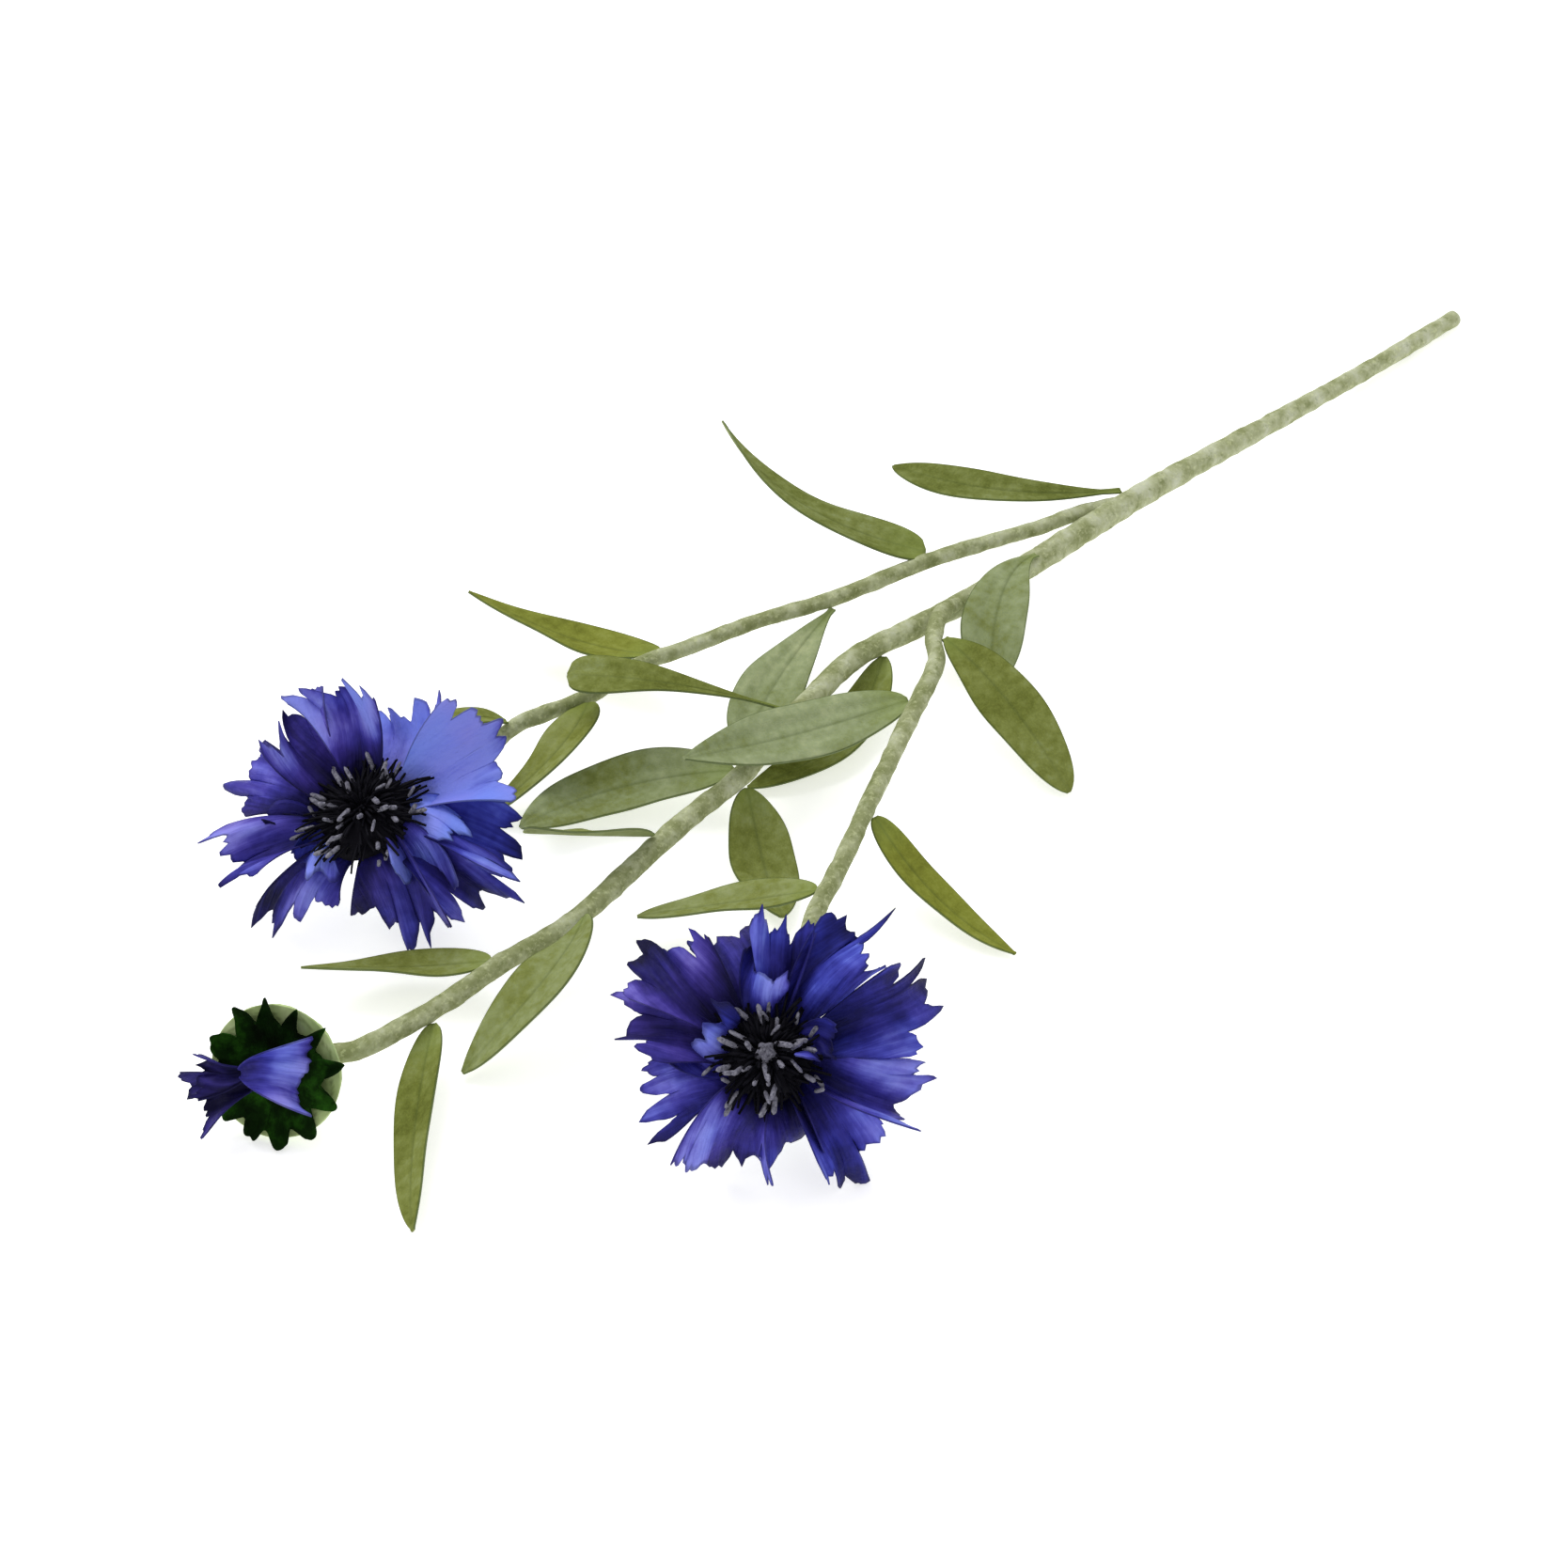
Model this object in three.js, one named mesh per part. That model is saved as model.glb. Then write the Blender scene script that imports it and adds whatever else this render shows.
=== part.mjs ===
// A cornflower spray, cut and laid down: one stem that forks in three, with two open heads, one half open
// bud and nineteen leaves. Millimetres, +Z up. The surface it lies on is z = 0, the stem runs along X with
// its cut end at +X, and the blooms are at -X. All places below are measured from a point under the main
// stem, and the whole spray is then moved so that the middle of its footprint is the origin.
import * as THREE from "three";

// ---- driving dimensions ----
const GAP = 0.3; // clearance between pieces that touch
const LEAF_THICKNESS = 0.8;
const LEAF_LEAST = 0.45; // least half width, at the tip and in the stalk
const FLORET_THICKNESS = 0.7;
const LEAF_NECK = 0.3; // what a leaf's root adds to its least half width
const TUBE_HALF_WIDTH = 1.2; // half width of a floret at its root
const TUBE_WRAP = 190; // degrees of arc that a floret's root wraps round
const TOOTH_DEPTH = 0.2; // notch between two teeth, as a part of the floret's length
const STEM_SIDES = 8;
const STEM_STEP = 8; // length of one section of a stem
const MIDDLE = [38.5, -14]; // middle of the footprint, which becomes the origin

// Where each bloom sits: the top of its neck, the compass heading it leans to and how far it leans.
const HEADS = {
  head_1: { neck: [-85, 23.6, 10], heading: 181, lean: 19.5 },
  head_2: { neck: [-67, -78, 12], heading: 220, lean: 34 },
  bud: { neck: [-135.4, -11.2, 9.2], heading: 213, lean: 62 },
};

// Routes of the stems, [x, y, z, radius], from the cut end or fork towards the bloom that ends them.
const STEMS = {
  main_stem: {
    bloom: "bud",
    route: [
      [235, 28, 2, 1.9], [203, 25, 3.2, 2], [173, 23, 4.5, 2.2], [147, 21.5, 5.6, 2.4],
      [123, 19.5, 7, 2.8], [101, 16.5, 8.5, 2.8], [82, 14, 9.5, 2.6], [63.5, 12.5, 10.5, 2.5],
      [48, 12, 11, 2.5], [31, 12, 11.5, 2.4], [14, 7, 12, 2.3], [-2.5, 1, 12, 2.2],
      [-15, -3.5, 12, 2.2], [-30, -6.5, 12, 2.2], [-42, -9.5, 12, 2.2], [-54, -12.5, 11.5, 2.2],
      [-65, -15.5, 11.5, 2.1], [-76, -17, 11.5, 2.1], [-87, -17, 11.5, 2.1], [-102, -18.5, 11, 2],
      [-114, -18.5, 10.5, 2], [-123.5, -15.5, 8, 2],
    ],
  },
  left_branch: {
    bloom: "head_1",
    route: [
      [106, 22.2, 8.5, 1.7], [94, 22.1, 10.3, 1.7], [82, 23.2, 12, 1.7], [66.5, 25.6, 13.2, 1.7],
      [57, 26.5, 13.7, 1.7], [38, 28.5, 14, 1.7], [20, 33, 14, 1.7], [3, 35.5, 14, 1.7],
      [-9, 37.5, 14, 1.7], [-24, 36, 14, 1.7], [-34, 38.5, 13, 1.8], [-41, 40, 12, 1.8],
      [-56, 37, 10, 1.8], [-69, 32, 7, 1.8], [-78.5, 26, 4.6, 1.8],
    ],
  },
  right_branch: {
    bloom: "head_2",
    route: [
      [52.5, 8.9, 14.6, 1.9], [44.5, 2.5, 15.4, 1.9], [40.5, -3, 15.6, 1.9], [36.5, -6.5, 16, 1.9],
      [28, -12, 16.5, 1.9], [17.5, -18.5, 17, 1.9], [6, -26, 17.5, 1.9], [-5, -33, 18, 1.9],
      [-15, -39.5, 18, 1.9], [-25.5, -46, 18, 1.9], [-34, -51, 18, 1.9], [-44, -58.5, 16, 1.9],
      [-53, -66, 12.5, 1.9], [-60, -72.5, 8.5, 1.9],
    ],
  },
};
const NECK_LEAD = 5; // the last stretch of a stem, straight into its bloom

// Leaves: stem, station (route points along it), tip, how far the middle stands above the straight line
// from base to tip, how far it swings to the left of it, width, roll at base and tip, fullness, which is
// small for a leaf that widens soon, and bluntness, which is small for a round tip.
const LEAVES = {
  leaf_left_1: ["main_stem", 4.2, [84, 61, 10], 4, 10, 11, 15, -5, 1.5, 0.55],
  leaf_left_2: ["left_branch", 3.2, [51.5, 82.5, 25.5], 1, 9, 15, 5, -65, 0.4, 0.7],
  leaf_left_3: ["left_branch", 5.05, [-5.5, 6, 9], -2, -3, 14, 10, 2, 1.2, 0.7],
  leaf_left_4: ["left_branch", 7.6, [-22.5, 80, 15.5], -5, -2, 14, -15, -25, 0.35, 0.75],
  leaf_left_5: ["left_branch", 9.1, [-57, 30.5, 1.5], 4, 5, 11, -20, -15, 0.5, 0.7],
  leaf_left_6: ["left_branch", 11.1, [-62, 42, 19], 3, 0, 7, 0, 0, 0.7, 0.7],
  leaf_middle_1: ["main_stem", 5.9, [52, -8, 2.5], 7, -3, 14, 5, 5, 1.4, 0.7],
  leaf_middle_2: ["main_stem", 8.65, [-8, 2, 2], -3, 5, 12, -10, -4, 0.6, 0.7],
  leaf_middle_3: ["main_stem", 10.45, [-30, 35, 23.5], 3, 1, 13, -20, 5, 1.9, 0.4],
  leaf_middle_4: ["main_stem", 11.85, [-57, 17, 8], -3, -7.5, 15, 10, 12, 0.6, 0.7],
  leaf_middle_5: ["main_stem", 12, [-30.5, -36, 4], -4, 0, 14, 15, 8, 0.6, 0.7],
  leaf_middle_6: ["main_stem", 14, [-61, 10, 13.5], 6, 7, 10, -42, -38, 0.7, 0.7],
  leaf_middle_7: ["main_stem", 16.25, [-107, -29, 1.8], 8, 6, 14, -45, 0, 0.85, 0.7],
  leaf_middle_8: ["main_stem", 18.1, [-118, 9.5, 9.5], -2.5, -2, 11, -6, -35, 0.5, 0.7],
  leaf_middle_9: ["main_stem", 19.45, [-142, -60, 4.5], -3, -2, 9.7, -25, -50, 0.5, 0.7],
  leaf_right_1: ["right_branch", 1, [43.5, -42.5, 1.5], 4, 0, 13, -10, -10, 0.8, 0.6],
  leaf_right_2: ["right_branch", 4.1, [-28, -1.5, 23], -4, -3, 14, 12, 25, 0.55, 0.8],
  leaf_right_3: ["right_branch", 7.1, [0.5, -73, 1.5], -3, -1.5, 9, 8, 15, 0.5, 0.8],
  leaf_right_4: ["right_branch", 9.35, [-55.5, -20, 7.5], -1.5, -2, 13, -12, -20, 0.5, 0.7],
};

// Florets, in their head's own frame (z along the head's axis, angle 0 to the side it leans to):
// angle, reach and height of the tip, bow above the straight line, width, gape and twist of the lip.
const OUTER_ROOT = { radius: 4.6, height: 10.5 };
const INNER_ROOT = { radius: 4.4, height: 13.4 };
const FLORETS = {
  head_1: {
    firstRoot: 171,
    outer: [
      [160, 31, 19, 3, 22, 50, 45], [204, 26.5, 21, 1, 16, 50, -25], [226, 24.5, 29, 2, 18, 90, -20],
      [274, 25.5, 27.5, 2, 19, 90, 25], [292, 30.5, 19.5, 3, 15, 70, -15],
      [335, 29.5, 14.5, 4, 14, 80, -5], [358, 21.5, 5.5, 4, 14, 60, -40], [64, 18, 0, 4, 21, 90, 25],
      [102, 27.5, -1, 4, 13, 70, 18], [125, 26, 3, 4, 14, 90, -5],
    ],
    inner: [
      [314, 19, 21.5, 0, 8, 80, 15], [354, 15.5, 18, 1, 8, 70, -20], [85, 18.5, 10.5, 4, 9, 60, 20],
      [124, 19, 12, 3, 10, 70, 5],
    ],
  },
  head_2: {
    firstRoot: 190,
    outer: [
      [185, 25.5, 13.5, 3, 12, 90, 15], [210, 29, 12.5, 3, 14, 90, 10], [234, 33, 20, 3, 19, 70, -28],
      [271, 27.5, 15, 4, 16, 80, 30], [293, 24, 5, 4, 14, 80, -5], [336, 19, 5, 4, 22, 90, -32],
      [22, 20, 5, 4, 14, 90, 18], [46, 26, 3.5, 4, 16, 60, -27], [82, 27, 4.5, 4, 19, 90, -30],
      [120, 34, 9.5, 4, 19, 60, 32], [144, 31, 14.5, 3, 21, 90, -28],
    ],
    inner: [
      [254, 16.5, 20, 0, 10, 80, -20], [99, 15, 17, 0, 9, 90, -5], [185, 17, 19.5, 0, 10, 90, -8],
    ],
  },
};

// The bud's petals: root angle, radius and height, then the same seven values as a floret.
const BUD_FLORETS = [
  [[272, 4.4, 14.5], [103, 9, 12.5, 3, 14, 80, -15]],
  [[262, 4, 12], [272, 14.5, 14, 1, 10, 90, 0]],
  [[312, 4.1, 10.6], [300, 17, 11, 1, 12, 80, 0]],
];

// ---- materials ----
const finish = (color, roughness) => new THREE.MeshStandardMaterial({ color, roughness, metalness: 0 });
const TAPE = finish(0xa3b078, 0.85);
const LEAF_CLOTH = finish(0x788a52, 0.8);
const CALYX_CLOTH = finish(0x8fa561, 0.8);
const RUFF_CLOTH = finish(0x16300c, 0.85);
const PETAL_CLOTH = finish(0x3a36a8, 0.6);
const STAMEN = finish(0x14121f, 0.6);

// ---- helpers ----
const radians = THREE.MathUtils.degToRad;
const lerp = THREE.MathUtils.lerp;
const UP = new THREE.Vector3(0, 0, 1);

const spray = new THREE.Group();
spray.position.set(-MIDDLE[0], -MIDDLE[1], 0);

function addPiece(parent, name, geometry, material) {
  const mesh = new THREE.Mesh(geometry, material);
  mesh.name = name;
  parent.add(mesh);
}

// Unit vector along a bloom's axis.
function axisOf({ heading, lean }) {
  const turn = new THREE.Euler(0, radians(lean), radians(heading), "ZYX");
  return UP.clone().applyEuler(turn);
}

// A closed solid from a middle surface sampled on a grid, thickened half to each side along its normals.
function sheetSolid(grid, thickness) {
  const rows = grid.length;
  const columns = grid[0].length;
  const positions = [];
  for (const side of [1, -1]) {
    for (let i = 0; i < rows; i++) {
      for (let j = 0; j < columns; j++) {
        const along = grid[Math.min(i + 1, rows - 1)][j].clone().sub(grid[Math.max(i - 1, 0)][j]);
        const across = grid[i][Math.min(j + 1, columns - 1)].clone().sub(grid[i][Math.max(j - 1, 0)]);
        const normal = along.cross(across).normalize();
        const point = grid[i][j].clone().addScaledVector(normal, (side * thickness) / 2);
        positions.push(point.x, point.y, point.z);
      }
    }
  }
  const layer = rows * columns;
  const at = (i, j) => i * columns + j;
  const indices = [];
  for (let i = 0; i + 1 < rows; i++) {
    for (let j = 0; j + 1 < columns; j++) {
      const [a, b, c, d] = [at(i, j), at(i + 1, j), at(i + 1, j + 1), at(i, j + 1)];
      indices.push(a, b, c, a, c, d);
      indices.push(layer + a, layer + c, layer + b, layer + a, layer + d, layer + c);
    }
  }
  const rim = [];
  for (let j = 0; j < columns - 1; j++) rim.push(at(0, j));
  for (let i = 0; i < rows - 1; i++) rim.push(at(i, columns - 1));
  for (let j = columns - 1; j > 0; j--) rim.push(at(rows - 1, j));
  for (let i = rows - 1; i > 0; i--) rim.push(at(i, 0));
  rim.forEach((a, k) => {
    const b = rim[(k + 1) % rim.length];
    indices.push(a, b, layer + b, a, layer + b, layer + a);
  });
  const geometry = new THREE.BufferGeometry();
  geometry.setAttribute("position", new THREE.Float32BufferAttribute(positions, 3));
  geometry.setIndex(indices);
  return geometry;
}

// ---- stems ----
function stemCurve({ bloom, route }) {
  const neck = new THREE.Vector3(...HEADS[bloom].neck);
  const lead = neck.clone().addScaledVector(axisOf(HEADS[bloom]), -NECK_LEAD);
  const points = route.map(([x, y, z]) => new THREE.Vector3(x, y, z));
  const curve = new THREE.CatmullRomCurve3([...points, lead, neck], false, "catmullrom", 0.5);
  const radii = [...route.map((point) => point[3]), route.at(-1)[3], route.at(-1)[3]];
  const radiusAt = (t) => {
    const station = Math.min(t * (radii.length - 1), radii.length - 1.0001);
    const before = Math.floor(station);
    return lerp(radii[before], radii[before + 1], station - before);
  };
  return { curve, radiusAt, stations: radii.length - 1 };
}

// A round bar along the curve, each section scaled to the stem's radius there.
function stemSolid({ curve, radiusAt }) {
  const section = new THREE.Shape().absarc(0, 0, 1, 0, 2 * Math.PI);
  const steps = Math.round(curve.getLength() / STEM_STEP);
  const geometry = new THREE.ExtrudeGeometry(section, {
    steps, extrudePath: curve, bevelEnabled: false, curveSegments: STEM_SIDES / 2,
  });
  const centres = curve.getSpacedPoints(steps);
  const radii = centres.map((_, i) => radiusAt(curve.getUtoTmapping(i / steps)));
  const position = geometry.getAttribute("position");
  const vertex = new THREE.Vector3();
  for (let v = 0; v < position.count; v++) {
    vertex.fromBufferAttribute(position, v);
    const distances = centres.map((centre) => centre.distanceToSquared(vertex));
    const nearest = distances.indexOf(Math.min(...distances));
    vertex.sub(centres[nearest]).multiplyScalar(radii[nearest]).add(centres[nearest]);
    position.setXYZ(v, vertex.x, vertex.y, vertex.z);
  }
  return geometry;
}

// ---- leaves ----
const LEAF_ROWS = 7;
const LEAF_COLUMNS = 4;
const LEAF_CUP = 0.18; // how far the margins stand up, as a part of the half width

// Half width at s (0 base, 1 tip): s^fullness (1 - s)^bluntness scaled to its peak, on a narrow neck.
function leafHalfWidth(s, width, fullness, bluntness) {
  const peakAt = fullness / (fullness + bluntness);
  const peak = peakAt ** fullness * (1 - peakAt) ** bluntness;
  const blade = (width / 2) * (s ** fullness * (1 - s) ** bluntness) / peak;
  return Math.max(blade, LEAF_LEAST) + LEAF_NECK * (1 - s) ** 4;
}

function leafSolid(row) {
  const [stemName, station, tip, rise, swing, width, rollBase, rollTip, fullness, bluntness] = row;
  const stem = stems[stemName];
  const t = station / stem.stations;
  const onStem = stem.curve.getPoint(t);
  const stemDirection = stem.curve.getTangent(t);
  const end = new THREE.Vector3(...tip);
  const chord = end.clone().sub(onStem);
  const left = new THREE.Vector3(-chord.y, chord.x, 0).normalize();
  const start = chord.clone().addScaledVector(UP, 4 * rise).addScaledVector(left, 4 * swing);
  start.addScaledVector(stemDirection, -start.dot(stemDirection)).normalize();
  const clearance = GAP + LEAF_THICKNESS / 2 + 0.4 * LEAF_LEAST;
  const base = onStem.addScaledVector(start, stem.radiusAt(t) + clearance);
  chord.copy(end).sub(base);
  const middle = (s) => base.clone().addScaledVector(chord, s)
    .addScaledVector(UP, 4 * s * (1 - s) * rise).addScaledVector(left, 4 * s * (1 - s) * swing);
  const grid = [];
  for (let i = 0; i <= LEAF_ROWS; i++) {
    const s = i / LEAF_ROWS;
    const along = chord.clone().addScaledVector(UP, 4 * (1 - 2 * s) * rise)
      .addScaledVector(left, 4 * (1 - 2 * s) * swing).normalize();
    const level = along.clone().cross(UP).normalize();
    const upright = level.clone().cross(along);
    const roll = radians(lerp(rollBase, rollTip, s));
    const side = level.clone().multiplyScalar(Math.cos(roll)).addScaledVector(upright, Math.sin(roll));
    const face = side.clone().cross(along);
    const half = leafHalfWidth(s, width, fullness, bluntness);
    const points = [];
    for (let j = 0; j <= LEAF_COLUMNS; j++) {
      const v = (2 * j) / LEAF_COLUMNS - 1;
      points.push(middle(s).addScaledVector(side, v * half)
        .addScaledVector(face, LEAF_CUP * half * Math.abs(v) ** 1.5));
    }
    grid.push(points);
  }
  return sheetSolid(grid, LEAF_THICKNESS);
}

// ---- florets ----
const FLORET_ROWS = 5;
const FLORET_TEETH = 3;
const FLORET_COLUMNS = 2 * FLORET_TEETH;

// A trumpet slit open along its top: an arc of cloth that starts as a narrow tube at the root and opens
// to a toothed lip, on a line from root to tip that bows towards the head's axis, and twists along it.
function floretSolid([rootAngle, rootRadius, rootHeight], row) {
  const [angle, reach, height, bow, width, gape, twist] = row;
  const polar = (degrees, radius, z) =>
    new THREE.Vector3(radius * Math.cos(radians(degrees)), radius * Math.sin(radians(degrees)), z);
  const root = polar(rootAngle, rootRadius, rootHeight);
  const chord = polar(angle, reach, height).sub(root);
  const round = polar(angle + 90, 1, 0);
  const grid = [];
  for (let i = 0; i <= FLORET_ROWS; i++) {
    const points = [];
    for (let j = 0; j <= FLORET_COLUMNS; j++) {
      const v = (2 * j) / FLORET_COLUMNS - 1;
      const notch = (j % 2) * TOOTH_DEPTH * (i / FLORET_ROWS) ** 2;
      const s = (i / FLORET_ROWS) * (1 - notch);
      const along = chord.clone().addScaledVector(UP, 4 * (1 - 2 * s) * bow).normalize();
      const side = round.clone().addScaledVector(along, -round.dot(along)).normalize();
      side.applyAxisAngle(along, radians(twist) * s);
      const inward = along.clone().cross(side);
      const wrap = radians(lerp(TUBE_WRAP, gape, s ** 0.6));
      const half = lerp(TUBE_HALF_WIDTH, width / 2, s ** 1.4);
      const bend = (2 * half) / wrap;
      const turn = (v * wrap) / 2;
      points.push(root.clone().addScaledVector(chord, s).addScaledVector(UP, 4 * s * (1 - s) * bow)
        .addScaledVector(side, bend * Math.sin(turn))
        .addScaledVector(inward, bend * (1 - Math.cos(turn))));
    }
    grid.push(points);
  }
  return sheetSolid(grid, FLORET_THICKNESS);
}

// ---- turned pieces: [radius, height] along the bloom's axis ----
const LATHE_SIDES = 16;
const CALYX_PROFILE = [
  [0, 0.3], [2.3, 0.3], [4.6, 2.5], [5.6, 5.5], [5.2, 8.8], [3.3, 9.3], [3.3, 14.4], [0, 14.4],
];
const STAMEN_PROFILE = [[0, 14.8], [3.4, 14.8], [8, 17.4], [10.4, 20.5], [9.6, 22.5], [5, 24.5], [0, 25.5]];
const BUD_CALYX_PROFILE = [
  [0, 0.3], [2.2, 0.3], [4.2, 2], [6, 4], [13.2, 7.2], [13.2, 7.9], [6, 5.6], [0, 5.6],
];
const BUD_CORE_PROFILE = [[0, 7.8], [3.6, 7.8], [3.2, 10.5], [2.2, 14.5], [0, 15.4]];

function turned(profile) {
  const points = profile.map(([radius, height]) => new THREE.Vector2(radius, height));
  return new THREE.LatheGeometry(points, LATHE_SIDES).rotateX(Math.PI / 2);
}

// The lobed ruff of the bud: a shallow dish, thickened like a leaf. Its lobes are pointed on the sharp
// side, whose angle is in degrees, and broad on the other.
const RUFF = {
  lobes: 12, radius: 14.8, cut: 4.2, floor: 6.4, rim: 9.4, thickness: 0.7, sharpSide: 144,
  rings: 3, perLobe: 6,
};

function ruffSolid() {
  const count = RUFF.lobes * RUFF.perLobe;
  const positions = [];
  const indices = [];
  for (const side of [0, 1]) {
    positions.push(0, 0, RUFF.floor + side * RUFF.thickness);
    for (let ring = 1; ring <= RUFF.rings; ring++) {
      for (let k = 0; k < count; k++) {
        const angle = (2 * Math.PI * k) / count;
        const out = ring / RUFF.rings;
        const power = 2.4 - 1.4 * Math.cos(angle - radians(RUFF.sharpSide));
        const notch = Math.abs(Math.cos((RUFF.lobes * angle) / 2 + 0.5 * Math.sin(2 * angle))) ** power;
        const radius = out * (RUFF.radius - RUFF.cut * notch * out ** 3);
        const height = lerp(RUFF.floor, RUFF.rim, out ** 2) + side * RUFF.thickness;
        positions.push(radius * Math.cos(angle), radius * Math.sin(angle), height);
      }
    }
  }
  const layer = 1 + RUFF.rings * count;
  const at = (ring, k) => 1 + (ring - 1) * count + (k % count);
  const face = (a, b, c) => {
    indices.push(layer + a, layer + b, layer + c);
    indices.push(a, c, b);
  };
  for (let k = 0; k < count; k++) {
    face(0, at(1, k), at(1, k + 1));
    for (let ring = 1; ring < RUFF.rings; ring++) {
      face(at(ring, k), at(ring + 1, k), at(ring + 1, k + 1));
      face(at(ring, k), at(ring + 1, k + 1), at(ring, k + 1));
    }
    const [a, b] = [at(RUFF.rings, k), at(RUFF.rings, k + 1)];
    indices.push(a, b, layer + b, a, layer + b, layer + a);
  }
  const geometry = new THREE.BufferGeometry();
  geometry.setAttribute("position", new THREE.Float32BufferAttribute(positions, 3));
  geometry.setIndex(indices);
  return geometry;
}

// ---- assembly ----
const stems = {};
for (const [name, stem] of Object.entries(STEMS)) {
  stems[name] = stemCurve(stem);
  addPiece(spray, name, stemSolid(stems[name]), TAPE);
}

for (const [name, leaf] of Object.entries(LEAVES)) {
  addPiece(spray, name, leafSolid(leaf), LEAF_CLOTH);
}

function bloomGroup(name) {
  const { neck, heading, lean } = HEADS[name];
  const group = new THREE.Group();
  group.position.set(...neck);
  group.rotation.set(0, radians(lean), radians(heading), "ZYX");
  spray.add(group);
  return group;
}

for (const [name, { firstRoot, outer, inner }] of Object.entries(FLORETS)) {
  const group = bloomGroup(name);
  addPiece(group, `${name}_calyx`, turned(CALYX_PROFILE), CALYX_CLOTH);
  addPiece(group, `${name}_stamens`, turned(STAMEN_PROFILE), STAMEN);
  outer.forEach((floret, i) => {
    const root = [firstRoot + (360 * i) / outer.length, OUTER_ROOT.radius, OUTER_ROOT.height];
    addPiece(group, `${name}_floret_${i + 1}`, floretSolid(root, floret), PETAL_CLOTH);
  });
  inner.forEach((floret, i) => {
    const root = [floret[0], INNER_ROOT.radius, INNER_ROOT.height];
    addPiece(group, `${name}_floret_${outer.length + i + 1}`, floretSolid(root, floret), PETAL_CLOTH);
  });
}

const bud = bloomGroup("bud");
addPiece(bud, "bud_calyx", turned(BUD_CALYX_PROFILE), CALYX_CLOTH);
addPiece(bud, "bud_ruff", ruffSolid(), RUFF_CLOTH);
addPiece(bud, "bud_core", turned(BUD_CORE_PROFILE), PETAL_CLOTH);
BUD_FLORETS.forEach(([root, floret], i) => {
  addPiece(bud, `bud_floret_${i + 1}`, floretSolid(root, floret), PETAL_CLOTH);
});

export default spray;
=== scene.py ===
"""A cornflower spray of pressed cloth on taped stems, lying on a pale surface.

Every piece is worked out here as a surface of two parameters, in millimetres
from a point under the main stem, and make_piece moves it to the row's origin and turns it into metres.
"""
import math

import bpy
import numpy as np
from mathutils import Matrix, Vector


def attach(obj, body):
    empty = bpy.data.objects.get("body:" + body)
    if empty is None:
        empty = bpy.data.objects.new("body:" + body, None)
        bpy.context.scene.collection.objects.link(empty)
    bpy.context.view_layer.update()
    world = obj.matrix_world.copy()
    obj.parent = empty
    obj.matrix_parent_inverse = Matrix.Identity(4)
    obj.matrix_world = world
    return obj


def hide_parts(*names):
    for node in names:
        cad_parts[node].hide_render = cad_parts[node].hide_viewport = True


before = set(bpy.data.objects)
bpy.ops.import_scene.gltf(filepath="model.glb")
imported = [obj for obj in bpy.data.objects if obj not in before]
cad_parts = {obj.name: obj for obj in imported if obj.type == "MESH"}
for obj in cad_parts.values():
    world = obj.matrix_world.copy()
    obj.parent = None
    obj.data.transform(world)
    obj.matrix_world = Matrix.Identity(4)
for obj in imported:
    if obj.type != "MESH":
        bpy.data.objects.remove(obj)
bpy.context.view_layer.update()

# ---- driving dimensions, millimetres ----
MM = 0.001  # metres in a millimetre
MIDDLE = np.array([38.5, -14.0, 0.0])  # middle of the footprint, which is the row's origin
LEAF_THICKNESS = 0.45
FLORET_THICKNESS = 0.3
GAP = 0.3  # clearance between a leaf and its stem
CLOTH_UNIT = 10  # millimetres in one unit of a piece's UV

# Where each bloom sits: the top of its neck, the compass heading it leans to and how far it leans.
HEADS = {
    "head_1": {"neck": (-85, 23.6, 10), "heading": 181, "lean": 19.5},
    "head_2": {"neck": (-67, -78, 12), "heading": 220, "lean": 34},
    "bud": {"neck": (-135.4, -11.2, 9.2), "heading": 213, "lean": 62},
}
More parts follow.
